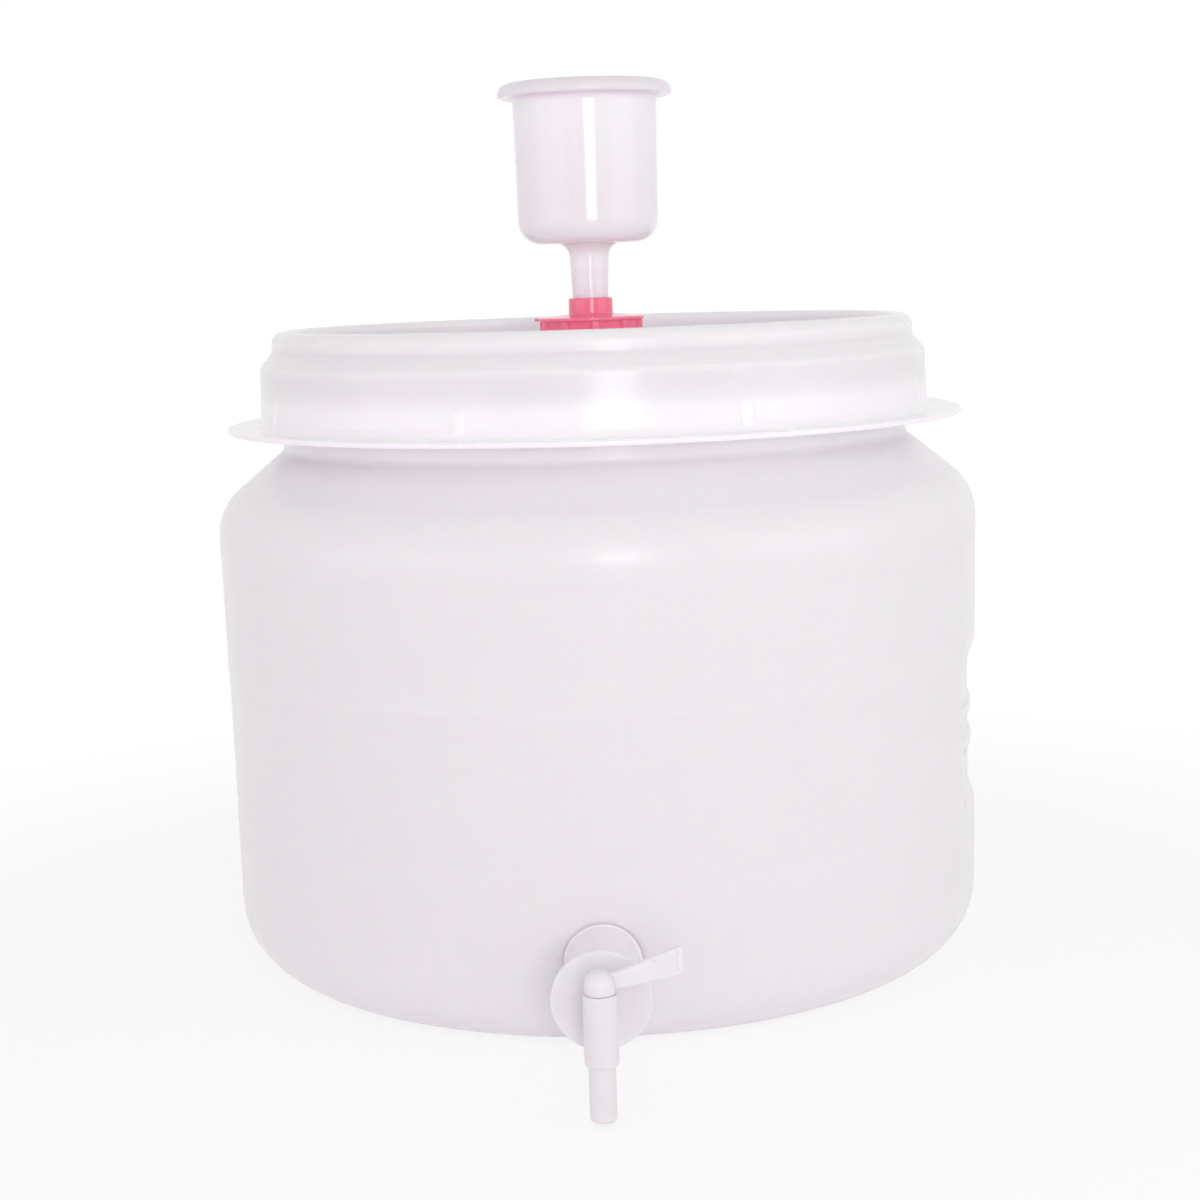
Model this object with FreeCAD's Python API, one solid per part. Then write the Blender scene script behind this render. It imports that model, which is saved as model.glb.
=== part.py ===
import FreeCAD, Part
import math
import os

from FreeCAD import Vector

# Fermentation jar with a lift-off lid, a cup airlock in a screw cap, and a drain tap.
# Millimetres, +Z up. The origin is the centre of the jar's flat base, and the tap points along -Y.

# Jar: wall and base
JAR_RADIUS = 172.5
JAR_WALL = 2.2
BASE_ROUND = 31.7
WALL_TALL = 189.4
WALL_TAPER = 1.7

# Jar: shallow band round the wall
BAND_LOW = 70.5
BAND_TALL = 70.0
BAND_DEPTH = 1.0
BAND_EDGE = 3.0
BAND_ROUND = 2.5

# Jar: shoulder, from the edge above the wall to the foot of the neck
SHOULDER_EDGE_REACH = 0.8
SHOULDER_EDGE = 1.6
SHOULDER_EDGE_ROUND = 1.0
SHOULDER_SIDE = 20.1
SHOULDER_ROUND = 25.0
SHOULDER_WIDE = 31.0
SHOULDER_RISE = 25.3

# Jar: neck, with the bead that the lid snaps over
NECK_TALL = 46.6
NECK_WALL = 3.0
NECK_FOOT_ROUND = 4.0
NECK_LIP_ROUND = 1.0
BEAD_REACH = 6.8
BEAD_DROP = 21.0
BEAD_FLAT = 4.0
BEAD_UNDERCUT = 4.0
BEAD_LEAD_IN = 7.0
BEAD_ROUND = 1.5

# Jar: two hand grips in the band, opposite each other and a little off the sides, with finger ridges
GRIP_TALL = 75.0
GRIP_WIDE = 80.0
GRIP_TURN = -8.5
GRIP_DEPTH = 3.4
GRIP_SLOPE = 9.0
GRIP_CORNER = 14.0
GRIP_MARGIN = 12.0
RIDGE_COUNT = 2
RIDGE_PITCH = 15.0
RIDGE_RISE = 1.6
RIDGE_FLAT = 3.0
RIDGE_FOOT = 9.0
RIDGE_ROUND = 2.5

# Jar: drain spout
SPOUT_HEIGHT = 40.0
SPOUT_RADIUS = 14.8
SPOUT_WALL = 4.1
SPOUT_LENGTH = 43.1
SPOUT_ROOT = 12.0

# Lid: skirt, rim and recessed panel
LID_WALL = 2.4
SKIRT_WALL = 2.8
SKIRT_DRAFT = 1.0
SKIRT_CLEARANCE = 0.4
CHANNEL_CLEARANCE = 1.1
LID_SEAL_THICKNESS = 3.0
LID_SEAL_CLEARANCE = 0.3
RIM_CROWN = 3.4
RIM_RISE = 9.0
RIM_ROUND = 5.5
RIM_INNER_ROUND = 3.0
STEP_RISE = 6.8
STEP_ROUND = 4.0
STEP_FOOT_ROUND = 3.0
PANEL_DEPTH = 10.4
PANEL_ROUND = 1.8
PLUG_WALL_DEPTH = 21.4
SKIRT_DEPTH = 44.4

# Lid: lifting flange and its gussets
FLANGE_REACH = 14.9
FLANGE_THICKNESS = 2.2
FLANGE_EDGE_ROUND = 0.9
FLANGE_FILLET = 4.5
GUSSET_COUNT = 8
GUSSET_WIDE = 3.4
GUSSET_TALL = 13.0
GUSSET_FOOT = 3.6
GUSSET_TOP = 1.2
GUSSET_TURN = 2.6

# Lid: filler neck under the screw cap
FILLER_RADIUS = 18.6
FILLER_WALL = 3.0
FILLER_RISE = 7.6
FILLER_ROUND = 0.8

# Screw cap
CAP_SEAL_THICKNESS = 1.6
CAP_SEAL_HOLE = 9.4
CAP_CLEARANCE = 0.3
CAP_WALL = 3.2
CAP_FOOT_GAP = 0.8
CAP_PLATE = 3.2
CAP_CROWN = 1.4
CAP_LIP_REACH = 2.1
CAP_LIP_THICKNESS = 1.4
CAP_LIP_ROUND = 0.5
CAP_RIB_COUNT = 10
CAP_RIB_WIDE = 3.4
CAP_RIB_REACH = 1.7
CAP_RIB_TURN = 6.0
CAP_NUB_REACH = 1.7
CAP_NUB_WIDE = 2.2
COLLAR_WALL = 1.85
COLLAR_RISE = 10.0
COLLAR_ROUND = 0.5
LEDGE = 1.8

# Stem O-ring in the collar
STEM_RING_SECTION = 1.0
STEM_RING_DROP = 5.0
STEM_RING_GAP = 0.05

# Airlock cup
STEM_RADIUS = 8.1
STEM_TOP_RADIUS = 8.55
STEM_CLEARANCE = 0.1
STEM_LENGTH = 34.7
STEM_FILLET = 4.0
TAIL_RADIUS = 6.7
TAIL_LENGTH = 20.0
TAIL_CLEARANCE = 0.3
CUP_FOOT_RADIUS = 31.5
CUP_TOP_RADIUS = 32.5
CUP_WALL = 1.8
CUP_BOTTOM_ROUND = 10.0
CUP_TALL = 71.3
LIP_RADIUS = 39.4
LIP_DROP = 6.2
LIP_THICKNESS = 2.2
LIP_EDGE = 1.8
LIP_EDGE_ROUND = 0.8
LIP_TOP_ROUND = 5.4
LIP_ROOT_ROUND = 1.0
LIP_INNER_ROUND = 1.2
PIPE_RADIUS = 7.6
PIPE_WALL = 1.8
PIPE_RISE = 40.0
PIPE_ROUND = 0.6

# Airlock bell
BELL_RADIUS = 15.0
BELL_WALL = 1.5
BELL_TALL = 52.0
BELL_ROUND = 6.0
BELL_NOTCH_COUNT = 4
BELL_NOTCH_WIDE = 5.0
BELL_NOTCH_TALL = 4.0

# Tap: washer, flange and shank
WASHER_THICKNESS = 2.0
WASHER_REACH = 1.4
TAP_FLANGE_RADIUS = 19.4
TAP_FLANGE_THICKNESS = 3.0
TAP_FLANGE_ROUND = 0.8
SHANK_CLEARANCE = 0.3
SHANK_LENGTH = 28.0
SHANK_WALL = 3.6

# Tap: plug housing and outlet
BARREL_LENGTH = 21.5
BARREL_RADIUS = 6.0
PASSAGE_RADIUS = 3.4
HOUSING_RADIUS = 6.5
HOUSING_ABOVE = 10.0
HOUSING_BELOW = 17.3
HOUSING_FLOOR = 1.6
HOUSING_ROUND = 0.8
OUTLET_RADIUS = 5.1
OUTLET_CLEARANCE = 1.5
OUTLET_EDGE = 0.6

# Tap: plug and lever
PLUG_RADIUS = 4.7
PLUG_CLEARANCE = 0.05
PLUG_BORE = 2.9
PLUG_FLOOR_GAP = 0.4
PLUG_ROOF = 4.5
PORT_RADIUS = 2.7
PLUG_RING_SECTION = 0.88
PLUG_RING_GAP = 0.015
PLUG_RING_INSET = 3.2
PLUG_BEAD_REACH = 0.5
PLUG_BEAD_TALL = 1.2
PLUG_BEAD_INSET = 0.8
DOME_RADIUS = 5.8
DOME_RISE = 8.6
DOME_ROUND = 5.0
DOME_GAP = 0.3
LEVER_REACH = 31.0
LEVER_THICKNESS = 3.2
LEVER_ROOT_LOW = 1.6
LEVER_ROOT_TALL = 6.0
LEVER_TIP_LOW = 6.5
LEVER_TIP_TALL = 11.4
LEVER_CORNER = 1.5

# A whole turn in degrees, the least length of an edge, and how far cutters run past what they cut
FULL_TURN = 360.0
LEAST_EDGE = 1e-6
OVERRUN = 1.0
ORIGIN = Vector(0, 0, 0)
ALONG_X = Vector(1, 0, 0)
UP = Vector(0, 0, 1)

# Heights and radii that follow from the sizes above
wall_top_radius = JAR_RADIUS - SHOULDER_EDGE_REACH
band_high = BAND_LOW + BAND_TALL
grip_height = BAND_LOW + BAND_TALL / 2
shoulder_slope = SHOULDER_RISE / SHOULDER_WIDE
shoulder_edge_top = WALL_TALL + SHOULDER_EDGE
shoulder_corner = shoulder_edge_top + SHOULDER_SIDE
neck_radius = JAR_RADIUS - SHOULDER_WIDE
neck_inner = neck_radius - NECK_WALL
neck_foot = shoulder_corner + SHOULDER_RISE
neck_top = neck_foot + NECK_TALL
bead_radius = neck_radius + BEAD_REACH
bead_height = neck_top - BEAD_DROP

skirt_inner = bead_radius + SKIRT_CLEARANCE
skirt_radius = skirt_inner + SKIRT_WALL
skirt_top_radius = skirt_radius - SKIRT_DRAFT
channel_outer = neck_radius + CHANNEL_CLEARANCE
channel_inner = neck_inner - CHANNEL_CLEARANCE
rim_radius = channel_outer + LID_WALL
rim_inner = channel_inner - LID_WALL
crown_under = neck_top + LID_SEAL_THICKNESS
rim_top = crown_under + RIM_CROWN
rim_foot = rim_top - RIM_RISE
skirt_top = rim_foot - STEP_RISE
panel_top = rim_top - PANEL_DEPTH
panel_under = panel_top - LID_WALL
flange_under = rim_top - SKIRT_DEPTH
flange_top = flange_under + FLANGE_THICKNESS

filler_bore = FILLER_RADIUS - FILLER_WALL
filler_top = panel_top + FILLER_RISE
cap_under = filler_top + CAP_SEAL_THICKNESS
cap_inner = FILLER_RADIUS + CAP_CLEARANCE
cap_radius = cap_inner + CAP_WALL
cap_foot = panel_top + CAP_FOOT_GAP
cap_edge_top = cap_under + CAP_PLATE
cap_crown_top = cap_edge_top + CAP_CROWN
ledge_top = cap_under + LEDGE
collar_bore = STEM_RADIUS + STEM_CLEARANCE
collar_radius = collar_bore + COLLAR_WALL
collar_top = ledge_top + COLLAR_RISE

cup_under = ledge_top + STEM_LENGTH
cup_floor = cup_under + CUP_WALL
cup_top = cup_under + CUP_TALL
lip_under = cup_top - LIP_THICKNESS
lip_low = cup_top - LIP_DROP
pipe_bore = PIPE_RADIUS - PIPE_WALL
tail_bottom = ledge_top - TAIL_LENGTH

spout_bore = SPOUT_RADIUS - SPOUT_WALL
shank_radius = spout_bore - SHANK_CLEARANCE
shank_bore = shank_radius - SHANK_WALL
housing_top = SPOUT_HEIGHT + HOUSING_ABOVE
housing_bottom = SPOUT_HEIGHT - HOUSING_BELOW
plug_bore_radius = PLUG_RADIUS + PLUG_CLEARANCE
plug_seat = housing_bottom + HOUSING_FLOOR
plug_bottom = plug_seat + PLUG_FLOOR_GAP
plug_bead_low = plug_bottom + PLUG_BEAD_INSET
plug_bead_high = plug_bead_low + PLUG_BEAD_TALL
plug_ring_heights = (plug_bottom + PLUG_RING_INSET, housing_top - PLUG_RING_INSET)


def wall_radius(height):
    """Radius of the jar's tapered wall at a height, before the band is set in."""
    return wall_top_radius - WALL_TAPER * (1 - height / WALL_TALL)


spout_end = wall_radius(SPOUT_HEIGHT) + SPOUT_LENGTH
flange_back = spout_end + WASHER_THICKNESS
flange_front = flange_back + TAP_FLANGE_THICKNESS
plug_axis = flange_front + BARREL_LENGTH


def round_corner(before, here, after, radius, radius_before, radius_after):
    """Start, middle and end of the tangent arc at a corner, kept within its share of both edges."""
    to_before = before - here
    to_after = after - here
    length_before = to_before.Length
    length_after = to_after.Length
    to_before.normalize()
    to_after.normalize()
    half_angle = to_before.getAngle(to_after) / 2
    if radius == 0 or half_angle > math.pi / 2 - LEAST_EDGE:
        return here, None, here
    share_before = length_before * radius / (radius + radius_before)
    share_after = length_after * radius / (radius + radius_after)
    reach = min(radius / math.tan(half_angle), share_before, share_after)
    fitted = reach * math.tan(half_angle)
    inward = to_before + to_after
    inward.normalize()
    middle = here + inward * (fitted / math.sin(half_angle) - fitted)
    return here + to_before * reach, middle, here + to_after * reach


def rounded_wire(corners):
    """Closed wire in the XZ plane through (x, z, round) corners."""
    count = len(corners)
    points = [Vector(x, 0, z) for x, z, radius in corners]
    arcs = []
    for i in range(count):
        after = (i + 1) % count
        arcs.append(round_corner(points[i - 1], points[i], points[after],
                                 corners[i][2], corners[i - 1][2], corners[after][2]))
    edges = []
    for i in range(count):
        start, middle, end = arcs[i]
        following = arcs[(i + 1) % count][0]
        if middle is not None:
            edges.append(Part.Arc(start, middle, end).toShape())
        if end.distanceToPoint(following) > LEAST_EDGE:
            edges.append(Part.LineSegment(end, following).toShape())
    return Part.Wire(edges)


def turned(corners):
    """Solid of revolution about the Z axis from (radius, height, round) corners."""
    return Part.Face(rounded_wire(corners)).revolve(ORIGIN, UP, FULL_TURN)


def ring(inner, outer, low, high):
    """Plain ring about the Z axis."""
    return turned([(inner, low, 0), (outer, low, 0), (outer, high, 0), (inner, high, 0)])


def rod(radius, low, high):
    """Plain cylinder about the Z axis."""
    return Part.makeCylinder(radius, high - low, Vector(0, 0, low), UP)


def block(x_low, x_high, y_half, z_low, z_high):
    """Box that is centred across Y."""
    return Part.makeBox(x_high - x_low, 2 * y_half, z_high - z_low, Vector(x_low, -y_half, z_low))


def around(shape, count, start):
    """Copies of a shape turned evenly about the Z axis, the first one at the start angle."""
    copies = []
    for i in range(count):
        copy = shape.copy()
        copy.rotate(ORIGIN, UP, start + i * FULL_TURN / count)
        copies.append(copy)
    return copies


def along_tap(shape):
    """Turns a shape made along +Z so that it runs along -Y at the height of the spout."""
    copy = shape.copy()
    copy.rotate(ORIGIN, ALONG_X, FULL_TURN / 4)
    copy.translate(Vector(0, 0, SPOUT_HEIGHT))
    return copy


def at_plug(shape):
    """Moves a shape made about the Z axis to the axis of the tap's plug."""
    copy = shape.copy()
    copy.translate(Vector(0, -plug_axis, 0))
    return copy


def under_shoulder(radius):
    """Height of the inside of the sloping shoulder at a radius."""
    outside = shoulder_corner + (JAR_RADIUS - radius) * shoulder_slope
    return outside - JAR_WALL * math.sqrt(1 + shoulder_slope ** 2)


def wall_corners(inset):
    """Corners of the wall from the band's foot to the shoulder's edge, set in by a wall thickness."""
    band_low_floor = BAND_LOW + BAND_EDGE
    band_high_floor = band_high - BAND_EDGE
    return [
        (wall_radius(BAND_LOW) - inset, BAND_LOW, BAND_ROUND),
        (wall_radius(band_low_floor) - BAND_DEPTH - inset, band_low_floor, BAND_ROUND),
        (wall_radius(band_high_floor) - BAND_DEPTH - inset, band_high_floor, BAND_ROUND),
        (wall_radius(band_high) - inset, band_high, BAND_ROUND),
        (wall_top_radius - inset, WALL_TALL, SHOULDER_EDGE_ROUND),
        (JAR_RADIUS - inset, shoulder_edge_top, SHOULDER_EDGE_ROUND),
    ]


def grip_profile(inset):
    """Cutting profile of a grip: sloping ends, a floor with ridges, and an open side clear of the wall."""
    wall = wall_radius(grip_height)
    floor = wall - GRIP_DEPTH - inset
    clear = JAR_RADIUS + GRIP_MARGIN
    slope = GRIP_SLOPE / GRIP_DEPTH
    half_floor = GRIP_TALL / 2 - GRIP_SLOPE + inset
    half_clear = half_floor + (clear - floor) * slope
    corners = [(clear, grip_height - half_clear, 0), (floor, grip_height - half_floor, 0)]
    for i in range(RIDGE_COUNT):
        middle = grip_height + (i - (RIDGE_COUNT - 1) / 2) * RIDGE_PITCH
        corners += [
            (floor, middle - RIDGE_FOOT / 2, RIDGE_ROUND),
            (floor + RIDGE_RISE, middle - RIDGE_FLAT / 2, RIDGE_ROUND),
            (floor + RIDGE_RISE, middle + RIDGE_FLAT / 2, RIDGE_ROUND),
            (floor, middle + RIDGE_FOOT / 2, RIDGE_ROUND),
        ]
    corners.append((floor, grip_height + half_floor, 0))
    corners.append((clear, grip_height + half_clear, 0))
    return corners


def grip_wedge(inset):
    """Upright block on the +X side whose sloping flanks are the sides of a grip."""
    wall = wall_radius(grip_height)
    half_turn = math.asin(GRIP_WIDE / 2 / wall)
    radial = Vector(math.cos(half_turn), math.sin(half_turn), 0)
    across = Vector(-math.sin(half_turn), math.cos(half_turn), 0)
    edge = radial * wall + across * inset
    flank = radial * GRIP_DEPTH + across * GRIP_SLOPE
    outer = edge + flank * (2 * GRIP_MARGIN / GRIP_DEPTH)
    inner = edge - flank * (GRIP_MARGIN / GRIP_DEPTH)
    front = outer + ALONG_X * wall
    low = Vector(0, 0, grip_height - 2 * GRIP_TALL)
    far_side = [Vector(point.x, -point.y, 0) for point in (front, outer, inner)]
    outline = Part.makePolygon([point + low for point in [inner, outer, front] + far_side + [inner]])
    return Part.Face(outline).extrude(UP * (4 * GRIP_TALL))


def radial_edges(shape, least):
    """Edges whose two ends differ by more than a given length in their distance from the Z axis."""
    found = []
    for edge in shape.Edges:
        start = edge.firstVertex()
        end = edge.lastVertex()
        if abs(math.hypot(start.X, start.Y) - math.hypot(end.X, end.Y)) > least:
            found.append(edge)
    return found


def grip_cutter(inset):
    """Recess for one grip on the +X side, set in by a wall thickness for the inside of the jar."""
    belt = turned(grip_profile(inset))
    belt.rotate(ORIGIN, UP, FULL_TURN / 2)
    cutter = belt.common(grip_wedge(inset))
    return cutter.makeFillet(GRIP_CORNER + inset, radial_edges(cutter, GRIP_MARGIN))


def both_sides(shape):
    """A shape made on the +X side, turned to where a grip sits, and its copy on the far side of the axis."""
    return around(shape, 2, GRIP_TURN)


def jar_body():
    """Hollow jar with neck, bead, grips and drain spout."""
    bead_foot = bead_height - BEAD_FLAT / 2 - BEAD_UNDERCUT
    bead_low = bead_height - BEAD_FLAT / 2
    bead_high = bead_height + BEAD_FLAT / 2
    outside = turned(
        [(0, 0, 0), (wall_radius(0), 0, BASE_ROUND)]
        + wall_corners(0)
        + [
            (JAR_RADIUS, shoulder_corner, SHOULDER_ROUND),
            (neck_radius, neck_foot, NECK_FOOT_ROUND),
            (neck_radius, bead_foot, BEAD_ROUND),
            (bead_radius, bead_low, BEAD_ROUND),
            (bead_radius, bead_high, BEAD_ROUND),
            (neck_radius, bead_high + BEAD_LEAD_IN, BEAD_ROUND),
            (neck_radius, neck_top, NECK_LIP_ROUND),
            (0, neck_top, 0),
        ]
    )
    shoulder_inner = JAR_RADIUS - JAR_WALL
    inside = turned(
        [(0, JAR_WALL, 0), (wall_radius(0) - JAR_WALL, JAR_WALL, BASE_ROUND - JAR_WALL)]
        + wall_corners(JAR_WALL)
        + [
            (shoulder_inner, under_shoulder(shoulder_inner), SHOULDER_ROUND - JAR_WALL),
            (neck_inner, under_shoulder(neck_inner), NECK_FOOT_ROUND + JAR_WALL),
            (neck_inner, neck_top + OVERRUN, 0),
            (0, neck_top + OVERRUN, 0),
        ]
    )
    inside = inside.cut(both_sides(grip_cutter(JAR_WALL)))
    spout = along_tap(rod(SPOUT_RADIUS, wall_radius(SPOUT_HEIGHT) - SPOUT_ROOT, spout_end))
    bore_start = wall_radius(SPOUT_HEIGHT) - BASE_ROUND - SPOUT_ROOT
    bore = along_tap(rod(spout_bore, bore_start, spout_end + OVERRUN))
    solid = outside.cut(both_sides(grip_cutter(0)))
    return solid.fuse(spout).cut([inside, bore])


def gusset():
    """Rib on the lid's skirt that widens down to its flange, on the +X side."""
    root = skirt_top_radius - SKIRT_WALL / 4
    sunk = flange_top - FLANGE_THICKNESS / 2
    top = flange_top + GUSSET_TALL
    outline = rounded_wire([
        (root, sunk, 0),
        (skirt_radius + GUSSET_FOOT, sunk, 0),
        (skirt_radius + GUSSET_FOOT, flange_top, 0),
        (skirt_radius + GUSSET_TOP, top, GUSSET_TOP / 2),
        (root, top, 0),
    ])
    rib = Part.Face(outline).extrude(Vector(0, GUSSET_WIDE, 0))
    rib.translate(Vector(0, -GUSSET_WIDE / 2, 0))
    return rib


def lid():
    """Press-on lid: flange, skirt, stacking rim over the neck's channel, recessed panel and filler neck."""
    step_slope = STEP_RISE / (skirt_top_radius - rim_radius)
    step_inset = LID_WALL * math.sqrt(1 + step_slope ** 2)
    step_low_under = skirt_top + (skirt_top_radius - skirt_inner) * step_slope - step_inset
    step_high_under = skirt_top + (skirt_top_radius - channel_outer) * step_slope - step_inset
    shell = turned([
        (skirt_inner, flange_under, 0),
        (skirt_radius + FLANGE_REACH, flange_under, FLANGE_EDGE_ROUND),
        (skirt_radius + FLANGE_REACH, flange_top, FLANGE_EDGE_ROUND),
        (skirt_radius, flange_top, FLANGE_FILLET),
        (skirt_top_radius, skirt_top, STEP_ROUND),
        (rim_radius, rim_foot, STEP_FOOT_ROUND),
        (rim_radius, rim_top, RIM_ROUND),
        (rim_inner, rim_top, RIM_INNER_ROUND),
        (rim_inner, panel_top, PANEL_ROUND),
        (filler_bore, panel_top, 0),
        (filler_bore, panel_under, 0),
        (rim_inner, panel_under, PANEL_ROUND),
        (rim_inner, rim_top - PLUG_WALL_DEPTH, 0),
        (channel_inner, rim_top - PLUG_WALL_DEPTH, LID_WALL / 2),
        (channel_inner, crown_under, 0),
        (channel_outer, crown_under, 0),
        (channel_outer, step_high_under, 0),
        (skirt_inner, step_low_under, 0),
    ])
    filler = turned([
        (filler_bore, panel_under, 0),
        (FILLER_RADIUS, panel_under, 0),
        (FILLER_RADIUS, filler_top, FILLER_ROUND),
        (filler_bore, filler_top, FILLER_ROUND),
    ])
    front = -FULL_TURN / 4 + FULL_TURN / (2 * GUSSET_COUNT) + GUSSET_TURN
    return shell.fuse([filler] + around(gusset(), GUSSET_COUNT, front))


def lid_seal():
    """Ring gasket on the jar's rim, in the crown of the lid's channel."""
    inner = channel_inner + LID_SEAL_CLEARANCE
    outer = channel_outer - LID_SEAL_CLEARANCE
    return ring(inner, outer, neck_top, crown_under)


def bung_cap():
    """Screw cap with grip ribs, a nub on its lip, and a collar that holds the airlock's stem on a ledge."""
    lip_radius = cap_radius + CAP_LIP_REACH
    lip_under = cap_edge_top - CAP_LIP_THICKNESS
    ring_groove = collar_bore + STEM_RING_SECTION
    ring_height = collar_top - STEM_RING_DROP
    groove_half = STEM_RING_SECTION / 2 + STEM_RING_GAP
    shell = turned([
        (cap_inner, cap_foot, 0),
        (cap_radius, cap_foot, CAP_LIP_ROUND),
        (cap_radius, lip_under, 0),
        (lip_radius, lip_under, CAP_LIP_ROUND),
        (lip_radius, cap_edge_top, CAP_LIP_ROUND),
        (collar_radius, cap_crown_top, COLLAR_ROUND),
        (collar_radius, collar_top, COLLAR_ROUND),
        (collar_bore, collar_top, COLLAR_ROUND),
        (collar_bore, ring_height + groove_half, 0),
        (ring_groove, ring_height + groove_half, 0),
        (ring_groove, ring_height - groove_half, 0),
        (collar_bore, ring_height - groove_half, 0),
        (collar_bore, ledge_top, 0),
        (TAIL_RADIUS + TAIL_CLEARANCE, ledge_top, 0),
        (TAIL_RADIUS + TAIL_CLEARANCE, cap_under, 0),
        (cap_inner, cap_under, 0),
    ])
    rib_root = cap_radius - CAP_WALL / 2
    rib = block(rib_root, cap_radius + CAP_RIB_REACH, CAP_RIB_WIDE / 2, cap_foot, lip_under)
    front = -FULL_TURN / 4 + CAP_RIB_TURN
    nub_top = cap_edge_top - CAP_LIP_ROUND
    nub = block(cap_radius, lip_radius + CAP_NUB_REACH, CAP_NUB_WIDE / 2, lip_under, nub_top)
    nub.rotate(ORIGIN, UP, FULL_TURN / 2)
    return shell.fuse(around(rib, CAP_RIB_COUNT, front) + [nub]).removeSplitter()


def bung_cap_seal():
    """Flat gasket between the filler neck and the screw cap."""
    return ring(CAP_SEAL_HOLE, FILLER_RADIUS, filler_top, cap_under)


def stem_o_ring():
    """O-ring in the collar's groove, close round the stem."""
    section = STEM_RING_SECTION / 2
    middle = STEM_RADIUS + STEM_RING_GAP + section
    return Part.makeTorus(middle, section, Vector(0, 0, collar_top - STEM_RING_DROP), UP)


def airlock_cup():
    """Water cup with a rolled lip, a stem that stands in the cap, and a standpipe inside."""
    pipe_top = cup_floor + PIPE_RISE
    inner_foot = CUP_FOOT_RADIUS - CUP_WALL
    inner_top = CUP_TOP_RADIUS - CUP_WALL
    inner_round = CUP_BOTTOM_ROUND - CUP_WALL
    return turned([
        (pipe_bore, tail_bottom, 0),
        (TAIL_RADIUS, tail_bottom, 0),
        (TAIL_RADIUS, ledge_top, 0),
        (STEM_RADIUS, ledge_top, 0),
        (STEM_RADIUS, collar_top, 0),
        (STEM_TOP_RADIUS, cup_under, STEM_FILLET),
        (CUP_FOOT_RADIUS, cup_under, CUP_BOTTOM_ROUND),
        (CUP_TOP_RADIUS, lip_under, LIP_ROOT_ROUND),
        (LIP_RADIUS - LIP_EDGE, lip_under, LIP_TOP_ROUND - LIP_EDGE),
        (LIP_RADIUS - LIP_EDGE, lip_low, 0),
        (LIP_RADIUS, lip_low, LIP_EDGE_ROUND),
        (LIP_RADIUS, cup_top, LIP_TOP_ROUND),
        (inner_top, cup_top, LIP_INNER_ROUND),
        (inner_foot, cup_floor, inner_round),
        (PIPE_RADIUS, cup_floor, PIPE_ROUND),
        (PIPE_RADIUS, pipe_top, PIPE_ROUND),
        (pipe_bore, pipe_top, PIPE_ROUND),
    ])


def airlock_bell():
    """Inverted cup over the standpipe, standing on the cup's floor, with notches for the gas."""
    inner = BELL_RADIUS - BELL_WALL
    top = cup_floor + BELL_TALL
    shell = turned([
        (inner, cup_floor, 0),
        (BELL_RADIUS, cup_floor, 0),
        (BELL_RADIUS, top, BELL_ROUND),
        (0, top, 0),
        (0, top - BELL_WALL, 0),
        (inner, top - BELL_WALL, BELL_ROUND - BELL_WALL),
    ])
    notch = block(inner - OVERRUN, BELL_RADIUS + OVERRUN, BELL_NOTCH_WIDE / 2,
                  cup_floor - OVERRUN, cup_floor + BELL_NOTCH_TALL)
    return shell.cut(around(notch, BELL_NOTCH_COUNT, 0))


def tap_washer():
    """Flat washer between the jar's spout and the tap's flange."""
    return along_tap(ring(spout_bore, SPOUT_RADIUS + WASHER_REACH, spout_end, flange_back))


def tap_body():
    """Tap moulding: shank in the spout, flange, barrel, plug housing and outlet."""
    shank = turned([
        (0, flange_back - SHANK_LENGTH, 0),
        (shank_radius, flange_back - SHANK_LENGTH, TAP_FLANGE_ROUND),
        (shank_radius, flange_back, 0),
        (TAP_FLANGE_RADIUS, flange_back, TAP_FLANGE_ROUND),
        (TAP_FLANGE_RADIUS, flange_front, TAP_FLANGE_ROUND),
        (BARREL_RADIUS, flange_front, TAP_FLANGE_ROUND),
        (BARREL_RADIUS, plug_axis, 0),
        (0, plug_axis, 0),
    ])
    housing = turned([
        (0, OUTLET_CLEARANCE, 0),
        (OUTLET_RADIUS, OUTLET_CLEARANCE, OUTLET_EDGE),
        (OUTLET_RADIUS, housing_bottom, 0),
        (HOUSING_RADIUS, housing_bottom, HOUSING_ROUND),
        (HOUSING_RADIUS, housing_top, HOUSING_ROUND),
        (0, housing_top, 0),
    ])
    wide_passage = along_tap(rod(shank_bore, flange_back - SHANK_LENGTH - OVERRUN, flange_back))
    passage = along_tap(rod(PASSAGE_RADIUS, flange_back - OVERRUN, plug_axis))
    plug_bore = at_plug(rod(plug_bore_radius, plug_seat, housing_top + OVERRUN))
    bead_groove = at_plug(rod(plug_bore_radius + PLUG_BEAD_REACH,
                              plug_bead_low - PLUG_CLEARANCE, plug_bead_high + PLUG_CLEARANCE))
    outlet = at_plug(rod(PASSAGE_RADIUS, OUTLET_CLEARANCE - OVERRUN, plug_seat + OVERRUN))
    solid = along_tap(shank).fuse(at_plug(housing))
    return solid.cut([wide_passage, passage, plug_bore, bead_groove, outlet])


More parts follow.
